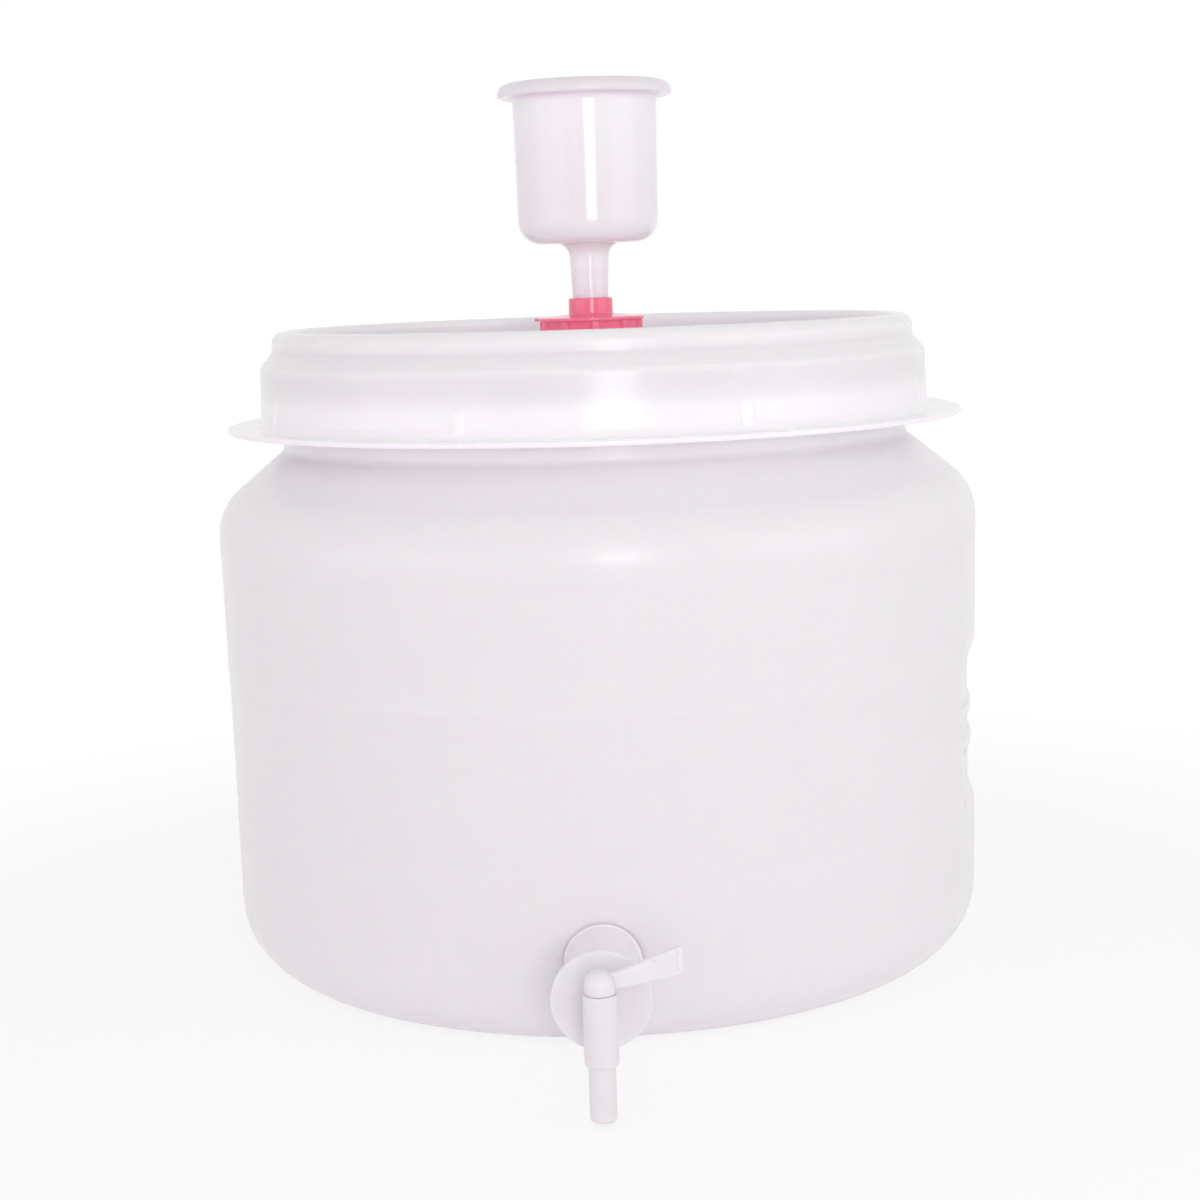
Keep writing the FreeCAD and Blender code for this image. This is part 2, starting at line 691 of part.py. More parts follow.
def lever():
    """Paddle lever on the +X side of the dome, rising towards its tip."""
    low = housing_top + DOME_GAP
    outline = rounded_wire([
        (0, low + LEVER_ROOT_LOW, 0),
        (DOME_RADIUS, low + LEVER_ROOT_LOW, 0),
        (LEVER_REACH, low + LEVER_TIP_LOW, LEVER_CORNER),
        (LEVER_REACH, low + LEVER_TIP_LOW + LEVER_TIP_TALL, LEVER_CORNER),
        (DOME_RADIUS, low + LEVER_ROOT_LOW + LEVER_ROOT_TALL, 0),
        (0, low + LEVER_ROOT_LOW + LEVER_ROOT_TALL, 0),
    ])
    paddle = Part.Face(outline).extrude(Vector(0, LEVER_THICKNESS, 0))
    paddle.translate(Vector(0, -LEVER_THICKNESS / 2, 0))
    return paddle


def ring_groove_floor():
    """Radius of the floor of the plug's O-ring grooves."""
    return plug_bore_radius - PLUG_RING_SECTION - 2 * PLUG_RING_GAP


def tap_plug():
    """Plug with a snap bead, a blind bore and a side port, under a dome with the lever.

    Closed, the lever points along +X and the port faces -X.
    """
    dome_low = housing_top + DOME_GAP
    body = turned([
        (0, plug_bottom, 0),
        (PLUG_RADIUS, plug_bottom, 0),
        (PLUG_RADIUS, plug_bead_low, 0),
        (PLUG_RADIUS + PLUG_BEAD_REACH, plug_bead_low, 0),
        (PLUG_RADIUS + PLUG_BEAD_REACH, plug_bead_high, PLUG_BEAD_REACH),
        (PLUG_RADIUS, plug_bead_high, 0),
        (PLUG_RADIUS, dome_low, 0),
        (DOME_RADIUS, dome_low, HOUSING_ROUND),
        (DOME_RADIUS, dome_low + DOME_RISE, DOME_ROUND),
        (0, dome_low + DOME_RISE, 0),
    ])
    half = PLUG_RING_SECTION / 2 + PLUG_RING_GAP
    floor = ring_groove_floor()
    grooves = [ring(floor, PLUG_RADIUS + OVERRUN, z - half, z + half) for z in plug_ring_heights]
    bore = rod(PLUG_BORE, plug_bottom - OVERRUN, SPOUT_HEIGHT + PLUG_ROOF)
    port = Part.makeCylinder(PORT_RADIUS, PLUG_RADIUS + OVERRUN, Vector(0, 0, SPOUT_HEIGHT), -ALONG_X)
    return at_plug(body.fuse(lever()).cut(grooves + [bore, port]))


def plug_o_rings():
    """Two O-rings in the plug's grooves, above and below the port."""
    section = PLUG_RING_SECTION / 2
    middle = ring_groove_floor() + PLUG_RING_GAP + section
    rings = [at_plug(Part.makeTorus(middle, section, Vector(0, 0, z), UP)) for z in plug_ring_heights]
    return Part.makeCompound(rings)


PIECES = (
    jar_body, lid, lid_seal, bung_cap, bung_cap_seal, stem_o_ring,
    airlock_cup, airlock_bell, tap_washer, tap_body, tap_plug, plug_o_rings,
)

os.makedirs("parts", exist_ok=True)
for piece in PIECES:
    shape = piece()
    name = piece.__name__
    shape.exportStep(os.path.join("parts", name + ".step"))
    box = shape.BoundBox
    print(f"{name}: solids {len(shape.Solids)}, valid {shape.isValid()}, volume {shape.Volume:.0f} mm3,",
          f"z {box.ZMin:.1f} to {box.ZMax:.1f}, y {box.YMin:.1f} to {box.YMax:.1f}")
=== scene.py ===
"""Looks of a wide-mouthed fermentation jar with a lid, a cup airlock in a screw cap, and a drain tap.

Sizes are in millimetres and angles in degrees, in the jar's own frame: +Z up from the middle of its base,
the tap along -Y. The studio's floor and lamps are in metres.
"""

import logging
import math
from dataclasses import dataclass, field, replace
from enum import Enum
from typing import Sequence, Union

import bmesh
import bpy
import numpy as np
from mathutils import Matrix, Vector


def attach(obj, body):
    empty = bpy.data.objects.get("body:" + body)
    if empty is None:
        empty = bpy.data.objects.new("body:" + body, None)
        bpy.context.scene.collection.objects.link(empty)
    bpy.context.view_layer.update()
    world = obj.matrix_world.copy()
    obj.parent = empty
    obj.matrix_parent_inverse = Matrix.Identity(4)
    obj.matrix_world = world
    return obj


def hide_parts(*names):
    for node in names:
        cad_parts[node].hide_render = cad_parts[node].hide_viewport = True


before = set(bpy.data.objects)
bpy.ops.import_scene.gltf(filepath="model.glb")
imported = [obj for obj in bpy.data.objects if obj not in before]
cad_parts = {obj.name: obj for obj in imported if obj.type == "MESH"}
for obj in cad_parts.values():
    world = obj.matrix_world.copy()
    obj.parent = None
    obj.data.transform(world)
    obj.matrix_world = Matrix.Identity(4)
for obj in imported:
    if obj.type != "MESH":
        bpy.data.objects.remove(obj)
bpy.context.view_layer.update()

logging.basicConfig(level=logging.INFO, format="%(name)s: %(message)s")
log = logging.getLogger("jar")

MM = 0.001
TINY = 1e-9
WELD = 1e-7
SLACK = 0.01
FULL_TURN = 2 * math.pi
ARC_STEP = math.radians(9)
SHARP_EDGE = math.radians(38)
GUARD = 0.4
GUARD_ROOM = 4 * GUARD
NEAR = 0.3
ANGLE_MARKS = 7201

Colour = tuple[float, float, float]
Corner = tuple[float, float, float]
Factors = tuple[float, float, float]
Number = Union[int, float, "Wire"]

WHITE: Colour = (1.0, 1.0, 1.0)
EVEN: Factors = (1.0, 1.0, 1.0)


class Slot(Enum):
    """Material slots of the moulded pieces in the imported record."""

    JAR = "jar_plastic"
    LID = "lid_plastic"
    AIRLOCK = "airlock_plastic"
    TAP = "tap_plastic"
    RED = "red_plastic"


class Body(Enum):
    """Moving bodies that pieces ride on."""

    JAR = "jar"
    LID = "lid"
    SCREW_CAP = "screw_cap"
    AIRLOCK = "airlock"
    BELL = "bell"
    PLUG = "plug"


# Profiles and surfaces


def smooth_step(low: float, high: float, value: np.ndarray) -> np.ndarray:
    """Eases from 0 at the low edge to 1 at the high edge: t squared times 3 - 2t.

    Args:
        low: value at which the result leaves 0.
        high: value at which the result reaches 1.
        value: values to ease.

    Returns:
        Eased values from 0 to 1.
    """
    share = np.clip((value - low) / (high - low), 0.0, 1.0)
    return share * share * (3.0 - 2.0 * share)


def soft_least(first: np.ndarray, second: np.ndarray, softness: float) -> np.ndarray:
    """The lesser of two fields, with the crease between them rounded.

    The formula is the mean of both, less half the length of the vector (difference, softness).

    Args:
        first: one field.
        second: the other field.
        softness: size of the round, in the fields' own unit.

    Returns:
        A field close below both.
    """
    return (first + second) / 2 - np.hypot(first - second, softness) / 2


def rounded(corners: Sequence[Corner], closed: bool = True) -> np.ndarray:
    """Traces a profile whose corners are replaced by tangent arcs.

    The arc at a corner starts its radius over the tangent of half the corner's angle away from it, and
    keeps within its share of both edges. Its points turn evenly from its first to its last radius. A guard
    point just off each end of an arc keeps the shading of the straight run beside it straight.

    Args:
        corners: (distance from the axis, height, radius of the round) in order.
        closed: whether the last corner joins the first.

    Returns:
        Points as an array of shape (count, 2).
    """
    points = np.array([corner[:2] for corner in corners], float)
    rounds = np.array([corner[2] for corner in corners], float)
    back = np.roll(points, 1, axis=0) - points
    ahead = np.roll(points, -1, axis=0) - points
    back_length = np.linalg.norm(back, axis=1)
    ahead_length = np.linalg.norm(ahead, axis=1)
    back /= back_length[:, None]
    ahead /= ahead_length[:, None]
    half = np.arccos(np.clip((back * ahead).sum(axis=1), -1.0, 1.0)) / 2
    half = np.clip(half, TINY, math.pi / 2 - TINY)
    back_share = back_length * rounds / np.maximum(rounds + np.roll(rounds, 1), TINY)
    ahead_share = ahead_length * rounds / np.maximum(rounds + np.roll(rounds, -1), TINY)
    reach = np.minimum(np.minimum(rounds / np.tan(half), back_share), ahead_share)
    if not closed:
        reach[[0, -1]] = 0.0
    free = ahead_length - reach - np.roll(reach, -1)
    after = np.where(free > GUARD_ROOM, GUARD, 0.0)
    runs = []
    rows = zip(points, back, ahead, half, reach, np.roll(after, 1), after)
    for here, to_back, to_ahead, angle, length, early, late in rows:
        sweep = math.pi - 2 * angle
        if length < TINY or sweep < TINY:
            runs.append(here[None])
            continue
        middle = to_back + to_ahead
        centre = here + middle / np.linalg.norm(middle) * (length / math.cos(angle))
        first = here + to_back * length - centre
        last = here + to_ahead * length - centre
        steps = max(2, math.ceil(sweep / ARC_STEP))
        turn = np.linspace(0.0, sweep, steps + 1)[:, None]
        runs += [(here + to_back * (length + early))[None]] if early else []
        runs.append(centre + (np.sin(sweep - turn) * first + np.sin(turn) * last) / math.sin(sweep))
        runs += [(here + to_ahead * (length + late))[None]] if late else []
    return np.concatenate(runs)


def spaced(profile: np.ndarray, limit: float, low: float, high: float) -> np.ndarray:
    """Adds points to long straight runs of an open profile, evenly by distance along it.

    Args:
        profile: points of shape (count, 2).
        limit: greatest distance between neighbours.
        low: lowest height at which points are added.
        high: highest height at which points are added.

    Returns:
        The profile's own points with the added ones between them.
    """
    length = np.linalg.norm(np.diff(profile, axis=0), axis=1)
    along = np.concatenate([[0.0], np.cumsum(length)])
    extra = np.arange(0.0, along[-1], limit)
    nearest = np.abs(extra[:, None] - along[None]).min(axis=1)
    height = np.interp(extra, along, profile[:, 1])
    extra = extra[(nearest > NEAR * limit) & (height > low) & (height < high)]
    places = np.sort(np.concatenate([along, extra]))
    return np.stack([np.interp(places, along, profile[:, i]) for i in range(2)], axis=-1)


def turn_angles(step: float, fine: float = 0.0, centres: Sequence[float] = (),
                reach: float = 0.0) -> np.ndarray:
    """Angles round a whole turn, closer together near given directions.

    Evenly spaced marks on the running total of the wanted density are read back as angles.

    Args:
        step: degrees between angles away from the centres.
        fine: degrees between angles near a centre.
        centres: directions in degrees.
        reach: degrees on each side of a centre that are fine.

    Returns:
        Angles in radians from 0 up to a whole turn, without its end.
    """
    degrees = np.linspace(0.0, 360.0, ANGLE_MARKS)
    density = np.full_like(degrees, 1.0 / step)
    for centre in centres:
        away = np.abs((degrees - centre + 180.0) % 360.0 - 180.0)
        density = np.where(away < reach, 1.0 / fine, density)
    total = np.concatenate([[0.0], np.cumsum((density[1:] + density[:-1]) / 2 * np.diff(degrees))])
    marks = np.linspace(0.0, total[-1], math.ceil(total[-1]), endpoint=False)
    return np.radians(np.interp(marks, total, degrees))


@dataclass
class Sheet:
    """A grid of points in millimetres, with what it does at its edges.

    Attributes:
        points: array of shape (rows, columns, 3).
        rows_close: whether the last row joins the first.
        columns_close: whether the last column joins the first.
    """

    points: np.ndarray
    rows_close: bool = True
    columns_close: bool = True

    def quads(self) -> np.ndarray:
        """Corner numbers of every cell, with points numbered row by row."""
        rows, columns = self.points.shape[:2]
        row = np.arange(rows if self.rows_close else rows - 1)[:, None]
        column = np.arange(columns if self.columns_close else columns - 1)[None]
        below = (row + 1) % rows * columns
        beside = (column + 1) % columns
        here = row * columns
        corners = (here + column, here + beside, below + beside, below + column)
        return np.stack(np.broadcast_arrays(*corners), -1).reshape(-1, 4)


def lathe(radius: np.ndarray, height: np.ndarray, angles: np.ndarray) -> np.ndarray:
    """Turns a profile about Z: x is radius times cosine, y is radius times sine of the angle.

    Args:
        radius: array that broadcasts to (rows, columns).
        height: array that broadcasts to (rows, columns).
        angles: angle of each column, in radians.

    Returns:
        Points of shape (rows, columns, 3).
    """
    x, y, z = np.broadcast_arrays(radius * np.cos(angles), radius * np.sin(angles), height)
    return np.stack([x, y, z], axis=-1)


def turned(profile: np.ndarray, angles: np.ndarray, closed: bool = True) -> Sheet:
    """A plain surface of revolution, whose profile closes on itself or ends on the axis."""
    return Sheet(lathe(profile[:, :1], profile[:, 1:], angles), rows_close=closed)


def ring_places(count: int, first: float) -> list[float]:
    """Directions in degrees of features set evenly round the axis from the first one."""
    return [first + i * 360.0 / count for i in range(count)]


def off_place(angles: np.ndarray, count: int, first: float) -> np.ndarray:
    """Angle from each direction to the nearest of the features set evenly round the axis.

    Args:
        angles: directions in radians.
        count: how many features there are.
        first: direction of one of them, in degrees.

    Returns:
        Angles in radians, without sign.
    """
    pitch = FULL_TURN / count
    return np.abs((angles - math.radians(first) + pitch / 2) % pitch - pitch / 2)


def shifted(sheet: Sheet, x: float = 0.0, y: float = 0.0, z: float = 0.0) -> Sheet:
    """The same sheet in another place."""
    return Sheet(sheet.points + np.array([x, y, z]), sheet.rows_close, sheet.columns_close)


def make_object(name: str, sheets: Sequence[Sheet]) -> bpy.types.Object:
    """Joins sheets into one mesh object at the origin, with poles welded and faces turned outwards.

    Args:
        name: name of the object.
        sheets: closed sheets in millimetres.

    Returns:
        The object, linked to the scene.
    """
    counts = [sheet.points.shape[0] * sheet.points.shape[1] for sheet in sheets]
    starts = np.concatenate([[0], np.cumsum(counts)[:-1]])
    points = np.concatenate([sheet.points.reshape(-1, 3) for sheet in sheets]) * MM
    quads = np.concatenate([sheet.quads() + start for sheet, start in zip(sheets, starts)])
    mesh = bpy.data.meshes.new(name)
    mesh.vertices.add(len(points))
    mesh.vertices.foreach_set("co", points.astype(np.float32).ravel())
    mesh.loops.add(quads.size)
    mesh.loops.foreach_set("vertex_index", quads.astype(np.int32).ravel())
    mesh.polygons.add(len(quads))
    mesh.polygons.foreach_set("loop_start", np.arange(0, quads.size, 4, dtype=np.int32))
    mesh.update(calc_edges=True)
    shell = bmesh.new()
    shell.from_mesh(mesh)
    bmesh.ops.remove_doubles(shell, verts=shell.verts, dist=WELD)
    bmesh.ops.recalc_face_normals(shell, faces=shell.faces)
    shell.to_mesh(mesh)
    shell.free()
    smooth(mesh)
    piece = bpy.data.objects.new(name, mesh)
    bpy.context.scene.collection.objects.link(piece)
    return piece


def smooth(mesh: bpy.types.Mesh) -> None:
    """Shades a mesh smooth, apart from its sharp edges."""
    mesh.shade_smooth()
    mesh.set_sharp_from_angle(angle=SHARP_EDGE)


def bore_through(piece: bpy.types.Object, cutter: bpy.types.Object) -> None:
    """Cuts one closed object out of another and removes the cutter.

    Args:
        piece: object that keeps its name and gets the hole.
        cutter: closed object in the shape of the hole.
    """
    hole = piece.modifiers.new("hole", "BOOLEAN")
    hole.operation = "DIFFERENCE"
    hole.solver = "EXACT"
    hole.object = cutter
    seen = piece.evaluated_get(bpy.context.evaluated_depsgraph_get())
    cut = bpy.data.meshes.new_from_object(seen)
    piece.modifiers.remove(hole)
    old = piece.data
    piece.data = cut
    bpy.data.meshes.remove(old)
    bpy.data.objects.remove(cutter)
    smooth(cut)


# Shader graphs

NOISE_MIDDLE = 0.5
NOISE_ROUGHNESS = 0.55
BUMP_STRENGTH = 0.35
CLOUD_DETAIL = 3.0
FINE_DETAIL = 2.0
MARK_DETAIL = 4.0
MARK_STRETCH = (0.06, 1.0, 2.2)
MARK_EDGE = (0.62, 0.72)
WORN_EDGE = (0.42, 0.62)
CLOUD_EDGE = (0.3, 0.7)
STREAK_EDGE = (0.35, 0.7)
MAIN_SHARE = 0.7
STREAK_SHARE = 0.3
MIX_FIRST = 6
MIX_SECOND = 7
MIX_RESULT = 2


class Wire:
    """A value in a shader graph, on which arithmetic adds Math nodes."""

    def __init__(self, graph: "Graph", socket: bpy.types.NodeSocket) -> None:
        """Wraps an output socket of a graph."""
        self.graph = graph
        self.socket = socket

    def maths(self, operation: str, first: Number, second: Number) -> "Wire":
        """Adds a Math node.

        Args:
            operation: Blender's name of the operation.
            first: first operand.
            second: second operand.

        Returns:
            The node's result.
        """
        return self.graph.node("ShaderNodeMath", {"operation": operation}, {0: first, 1: second})

    def __add__(self, other: Number) -> "Wire":
        """Sum."""
        return self.maths("ADD", self, other)

    def __radd__(self, other: Number) -> "Wire":
        """Sum with a number on the left."""
        return self.maths("ADD", other, self)

    def __sub__(self, other: Number) -> "Wire":
        """Difference."""
        return self.maths("SUBTRACT", self, other)

    def __rsub__(self, other: Number) -> "Wire":
        """Difference from a number on the left."""
        return self.maths("SUBTRACT", other, self)

    def __mul__(self, other: Number) -> "Wire":
        """Product."""
        return self.maths("MULTIPLY", self, other)

    def __rmul__(self, other: Number) -> "Wire":
        """Product with a number on the left."""
        return self.maths("MULTIPLY", other, self)

    def most(self, other: Number) -> "Wire":
        """The greater of two values."""
        return self.maths("MAXIMUM", self, other)

    def eased(self, low: float, high: float) -> "Wire":
        """Eases from 0 at the low edge to 1 at the high edge."""
        settings = {"interpolation_type": "SMOOTHSTEP"}
        return self.graph.node("ShaderNodeMapRange", settings, {0: self, 1: low, 2: high, 3: 0.0, 4: 1.0})


class Graph:
    """A node tree that nodes are added to by type."""

    def __init__(self, tree: bpy.types.NodeTree) -> None:
        """Takes over a node tree and empties it."""
        self.tree = tree
        tree.nodes.clear()

    def node(self, kind: str, settings: dict, inputs: dict, output: Union[int, str] = 0) -> Wire:
        """Adds a node of any type.

        Args:
            kind: Blender's name of the node type.
            settings: properties, which are set first.
            inputs: value or wire for each input socket, by number or name.
            output: number or name of the output socket to return.

        Returns:
            The chosen output.
        """
        made = self.tree.nodes.new(kind)
        for name, value in settings.items():
            setattr(made, name, value)
        for place, value in inputs.items():
            if isinstance(value, Wire):
                self.tree.links.new(value.socket, made.inputs[place])
            else:
                made.inputs[place].default_value = value
        return Wire(self, made.outputs[output])

    def finish(self, kind: str, shader: Wire) -> None:
        """Joins a shader to a new output node of the given type."""
        made = self.tree.nodes.new(kind)
        self.tree.links.new(shader.socket, made.inputs["Surface"])

    def noise(self, place: Wire, size: float, detail: float, stretch: Factors = EVEN) -> Wire:
        """Noise from 0 to 1 at a place.

        Args:
            place: position in metres.
            size: width of the noise's patches, in millimetres.
            detail: how many finer layers it has.
            stretch: factor on the place along each axis, under 1 to draw patches out.

        Returns:
            The noise value.
        """
        if stretch != EVEN:
            scaled = {"Vector": place, "Scale": stretch}
            place = self.node("ShaderNodeMapping", {"vector_type": "POINT"}, scaled)
        inputs = {"Vector": place, "Scale": 1.0 / (size * MM), "Detail": detail,
                  "Roughness": NOISE_ROUGHNESS}
        return self.node("ShaderNodeTexNoise", {"noise_dimensions": "3D"}, inputs, "Fac")

    def blend(self, share: Wire, first: Union[Colour, Wire], second: Union[Colour, Wire]) -> Wire:
        """Mix of two colours by a share from 0 to 1."""
        first = first if isinstance(first, Wire) else (*first, 1.0)
        second = second if isinstance(second, Wire) else (*second, 1.0)
        inputs = {0: share, MIX_FIRST: first, MIX_SECOND: second}
        return self.node("ShaderNodeMix", {"data_type": "RGBA"}, inputs, MIX_RESULT)


@dataclass(frozen=True)
class PaintedShading:
    """A stretch of height with painted light or shade in its colour: lighter where shade falls, darker
    where the lamps light it brightly.

    Attributes:
        low: lowest height in millimetres.
        high: highest height in millimetres.
        ease: distance over which it fades at each end, in millimetres.
        colour: linear colour of the painted light or shade.
        share: how far the colour is taken.
    """

    low: float
    high: float
    ease: float
    colour: Colour
    share: float


@dataclass(frozen=True)
class Plastic:
    """A moulded plastic: cloudy colour, streaks from moulding, fine grain, handling scuffs, and painted
    light and shade over stretches of height.

    Attributes:
        name: name of the material.
        colour: linear colour of most of the surface.
        cloud: linear colour of its cloudy patches.
        roughness: middle roughness.
        wander: how far the roughness strays.
        cloud_size: width of the cloudy patches, in millimetres.
        streak_size: width of the streaks, in millimetres.
        streak_stretch: factor on height, under 1, that draws the streaks out upwards.
        grain_size: width of the surface grain, in millimetres.
        grain_depth: depth of the surface grain, in millimetres.
        scuff: roughness that scuff marks add.
        glow: weight of light that scatters inside the plastic.
        glow_depth: how far that light travels, in millimetres.
        glow_tint: how far each colour of it travels, as a share.
        glow_ahead: how far it keeps its direction, from 0 to 1.
        reflectance: specular level.
        painted_shading: stretches of height with painted light or shade in their colour.
    """

    name: str
    colour: Colour
    cloud: Colour
    roughness: float
    wander: float
    cloud_size: float
    streak_size: float
    streak_stretch: float
    grain_size: float
    grain_depth: float
    scuff: float
    glow: float
    glow_depth: float
    glow_tint: Colour = (0.8, 1.0, 0.85)
    glow_ahead: float = 0.8
    reflectance: float = 0.5
    painted_shading: tuple[PaintedShading, ...] = ()

    def material(self) -> bpy.types.Material:
        """Builds the material's nodes.

        Returns:
            A new material.
        """
        made = bpy.data.materials.new(self.name)
        made.use_nodes = True
        graph = Graph(made.node_tree)
        place = graph.node("ShaderNodeTexCoord", {}, {}, "Object")
        clouds = graph.noise(place, self.cloud_size, CLOUD_DETAIL)
        streaks = graph.noise(place, self.streak_size, FINE_DETAIL, (1.0, 1.0, self.streak_stretch))
        grain = graph.noise(place, self.grain_size, FINE_DETAIL)
        marks = graph.noise(place, self.streak_size, MARK_DETAIL, MARK_STRETCH)
        scuffs = marks.eased(*MARK_EDGE) * clouds.eased(*WORN_EDGE)
        patches = clouds.eased(*CLOUD_EDGE) * MAIN_SHARE + streaks.eased(*STREAK_EDGE) * STREAK_SHARE
        colour = graph.blend(patches, self.colour, self.cloud)
        height = graph.node("ShaderNodeSeparateXYZ", {}, {0: place}, "Z")
        # Painted light and shade: each stretch of height is blended towards its own lighter or darker
        # colour.
        for shading_band in self.painted_shading:
            rise = height.eased((shading_band.low - shading_band.ease) * MM, (shading_band.low + shading_band.ease) * MM)
            fall = height.eased((shading_band.high - shading_band.ease) * MM, (shading_band.high + shading_band.ease) * MM)
            colour = graph.blend((rise - fall) * shading_band.share, colour, shading_band.colour)
        rough = self.roughness + (streaks - NOISE_MIDDLE) * self.wander
        rough = rough + (grain - NOISE_MIDDLE) * self.wander + scuffs * self.scuff
        relief = grain * MAIN_SHARE + streaks * STREAK_SHARE
        bumps = {"Strength": BUMP_STRENGTH, "Distance": self.grain_depth * MM, "Height": relief}
        normal = graph.node("ShaderNodeBump", {}, bumps, "Normal")
        shader = graph.node("ShaderNodeBsdfPrincipled", {}, {
            "Base Color": colour,
            "Roughness": rough,
            "Normal": normal,
            "Specular IOR Level": self.reflectance,
            "Subsurface Weight": self.glow,
            "Subsurface Radius": self.glow_tint,
            "Subsurface Scale": self.glow_depth * MM,
            "Subsurface Anisotropy": self.glow_ahead,
        })
        graph.finish("ShaderNodeOutputMaterial", shader)
        return made


JAR_PLASTIC = Plastic(
    name="jar_polyethylene", colour=(0.918, 0.862, 0.922), cloud=(0.908, 0.847, 0.905), roughness=0.23,
    wander=0.06, cloud_size=95.0, streak_size=24.0, streak_stretch=0.12, grain_size=1.6, grain_depth=0.03,
    scuff=0.02, glow=1.0, glow_depth=6.0, reflectance=0.3,
    # Painted light: the shoulder and neck are lightened against the shade under the lid's flange.
    painted_shading=(PaintedShading(214.0, 262.0, 13.0, (0.975, 0.96, 0.975), 0.95),))
LID_PLASTIC = Plastic(
    name="lid_polyethylene", colour=(0.915, 0.858, 0.918), cloud=(0.905, 0.844, 0.903), roughness=0.2,
    wander=0.06, cloud_size=80.0, streak_size=18.0, streak_stretch=0.35, grain_size=1.3, grain_depth=0.025,
    scuff=0.0, glow=1.0, glow_depth=6.0, reflectance=0.3, painted_shading=(
        # Painted light: the flange's underside is lightened against its shade.
        PaintedShading(240.0, 245.1, 0.08, (0.97, 0.95, 0.97), 0.8),
        # Painted shade: the flange's outer edge is darkened where the lamps light it brightly.
        PaintedShading(245.2, 246.9, 0.15, (0.80, 0.725, 0.79), 0.9),
        # Painted shade: the skirt's foot above the flange is darkened against its highlight.
        PaintedShading(250.5, 256.0, 3.0, (0.865, 0.79, 0.857), 0.6),
        # Painted light: the stacking rim and the far inner wall behind it are lightened against their
        # shade.
        PaintedShading(279.3, 288.0, 0.6, (0.96, 0.92, 0.962), 0.35)))
AIRLOCK_PLASTIC = Plastic(
    name="airlock_polypropylene", colour=(0.862, 0.78, 0.85), cloud=(0.855, 0.77, 0.842), roughness=0.09,
    wander=0.03, cloud_size=34.0, streak_size=9.0, streak_stretch=0.2, grain_size=0.9, grain_depth=0.008,
    scuff=0.04, glow=1.0, glow_depth=5.0, reflectance=0.38, painted_shading=(
        # Painted shade: the rolled lip is darkened against its bright reflections.
        PaintedShading(389.0, 400.0, 1.5, (0.70, 0.66, 0.69), 0.9),
        # Painted light: the stem's top and the cup's bottom are lightened against the shade at their joint.
        PaintedShading(314.0, 331.0, 3.5, (0.92, 0.865, 0.91), 0.7)))
TAP_PLASTIC = Plastic(
    name="tap_polypropylene", colour=(0.762, 0.732, 0.76), cloud=(0.745, 0.712, 0.74), roughness=0.3,
    wander=0.08, cloud_size=14.0, streak_size=4.0, streak_stretch=0.4, grain_size=0.7, grain_depth=0.012,
    scuff=0.06, glow=0.4, glow_depth=4.0)
SPOUT_PLASTIC = replace(JAR_PLASTIC, name="spout_polyethylene", colour=(0.875, 0.825, 0.873),
                        cloud=(0.86, 0.805, 0.855), glow=0.0, painted_shading=())
RED_PLASTIC = Plastic(
    name="red_polyethylene", colour=(0.95, 0.215, 0.335), cloud=(0.92, 0.19, 0.30), roughness=0.13,
    wander=0.04, cloud_size=16.0, streak_size=5.0, streak_stretch=0.5, grain_size=0.8, grain_depth=0.012,
    scuff=0.06, glow=0.3, glow_depth=1.5)
SEAL_RUBBER = Plastic(
    name="grey_rubber", colour=(0.70, 0.675, 0.675), cloud=(0.66, 0.635, 0.635), roughness=0.7,
    wander=0.12, cloud_size=9.0, streak_size=3.0, streak_stretch=1.0, grain_size=0.5, grain_depth=0.03,
    scuff=0.05, glow=0.0, glow_depth=0.5, reflectance=0.3)


# The object's sub-assemblies


@dataclass
class SubAssembly:
    """What the sub-assemblies share: their pieces, and how a piece joins the model.

    Attributes:
        made: pieces so far.
    """

    made: list[bpy.types.Object] = field(default_factory=list, init=False)

    def add(self, piece: bpy.types.Object, node: str, body: Body, slot: Slot) -> bpy.types.Object:
        """Puts a piece in the place of a construction node.

        Args:
            piece: finished object.
            node: node that it stands for.
            body: body that it rides on.
            slot: material slot of the record that it stands for; not used.

        Returns:
            The piece.
        """
        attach(piece, body.value)
        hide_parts(node)
        self.made.append(piece)
        log.info("%s: %d faces, on %s, for %s", piece.name, len(piece.data.polygons), body.value, node)
        return piece

    def dress(self, finish: Plastic, *pieces: bpy.types.Object) -> None:
        """Gives the same finish to the given pieces, or to every piece so far."""
        material = finish.material()
        for piece in pieces or self.made:
            piece.data.materials.clear()
            piece.data.materials.append(material)


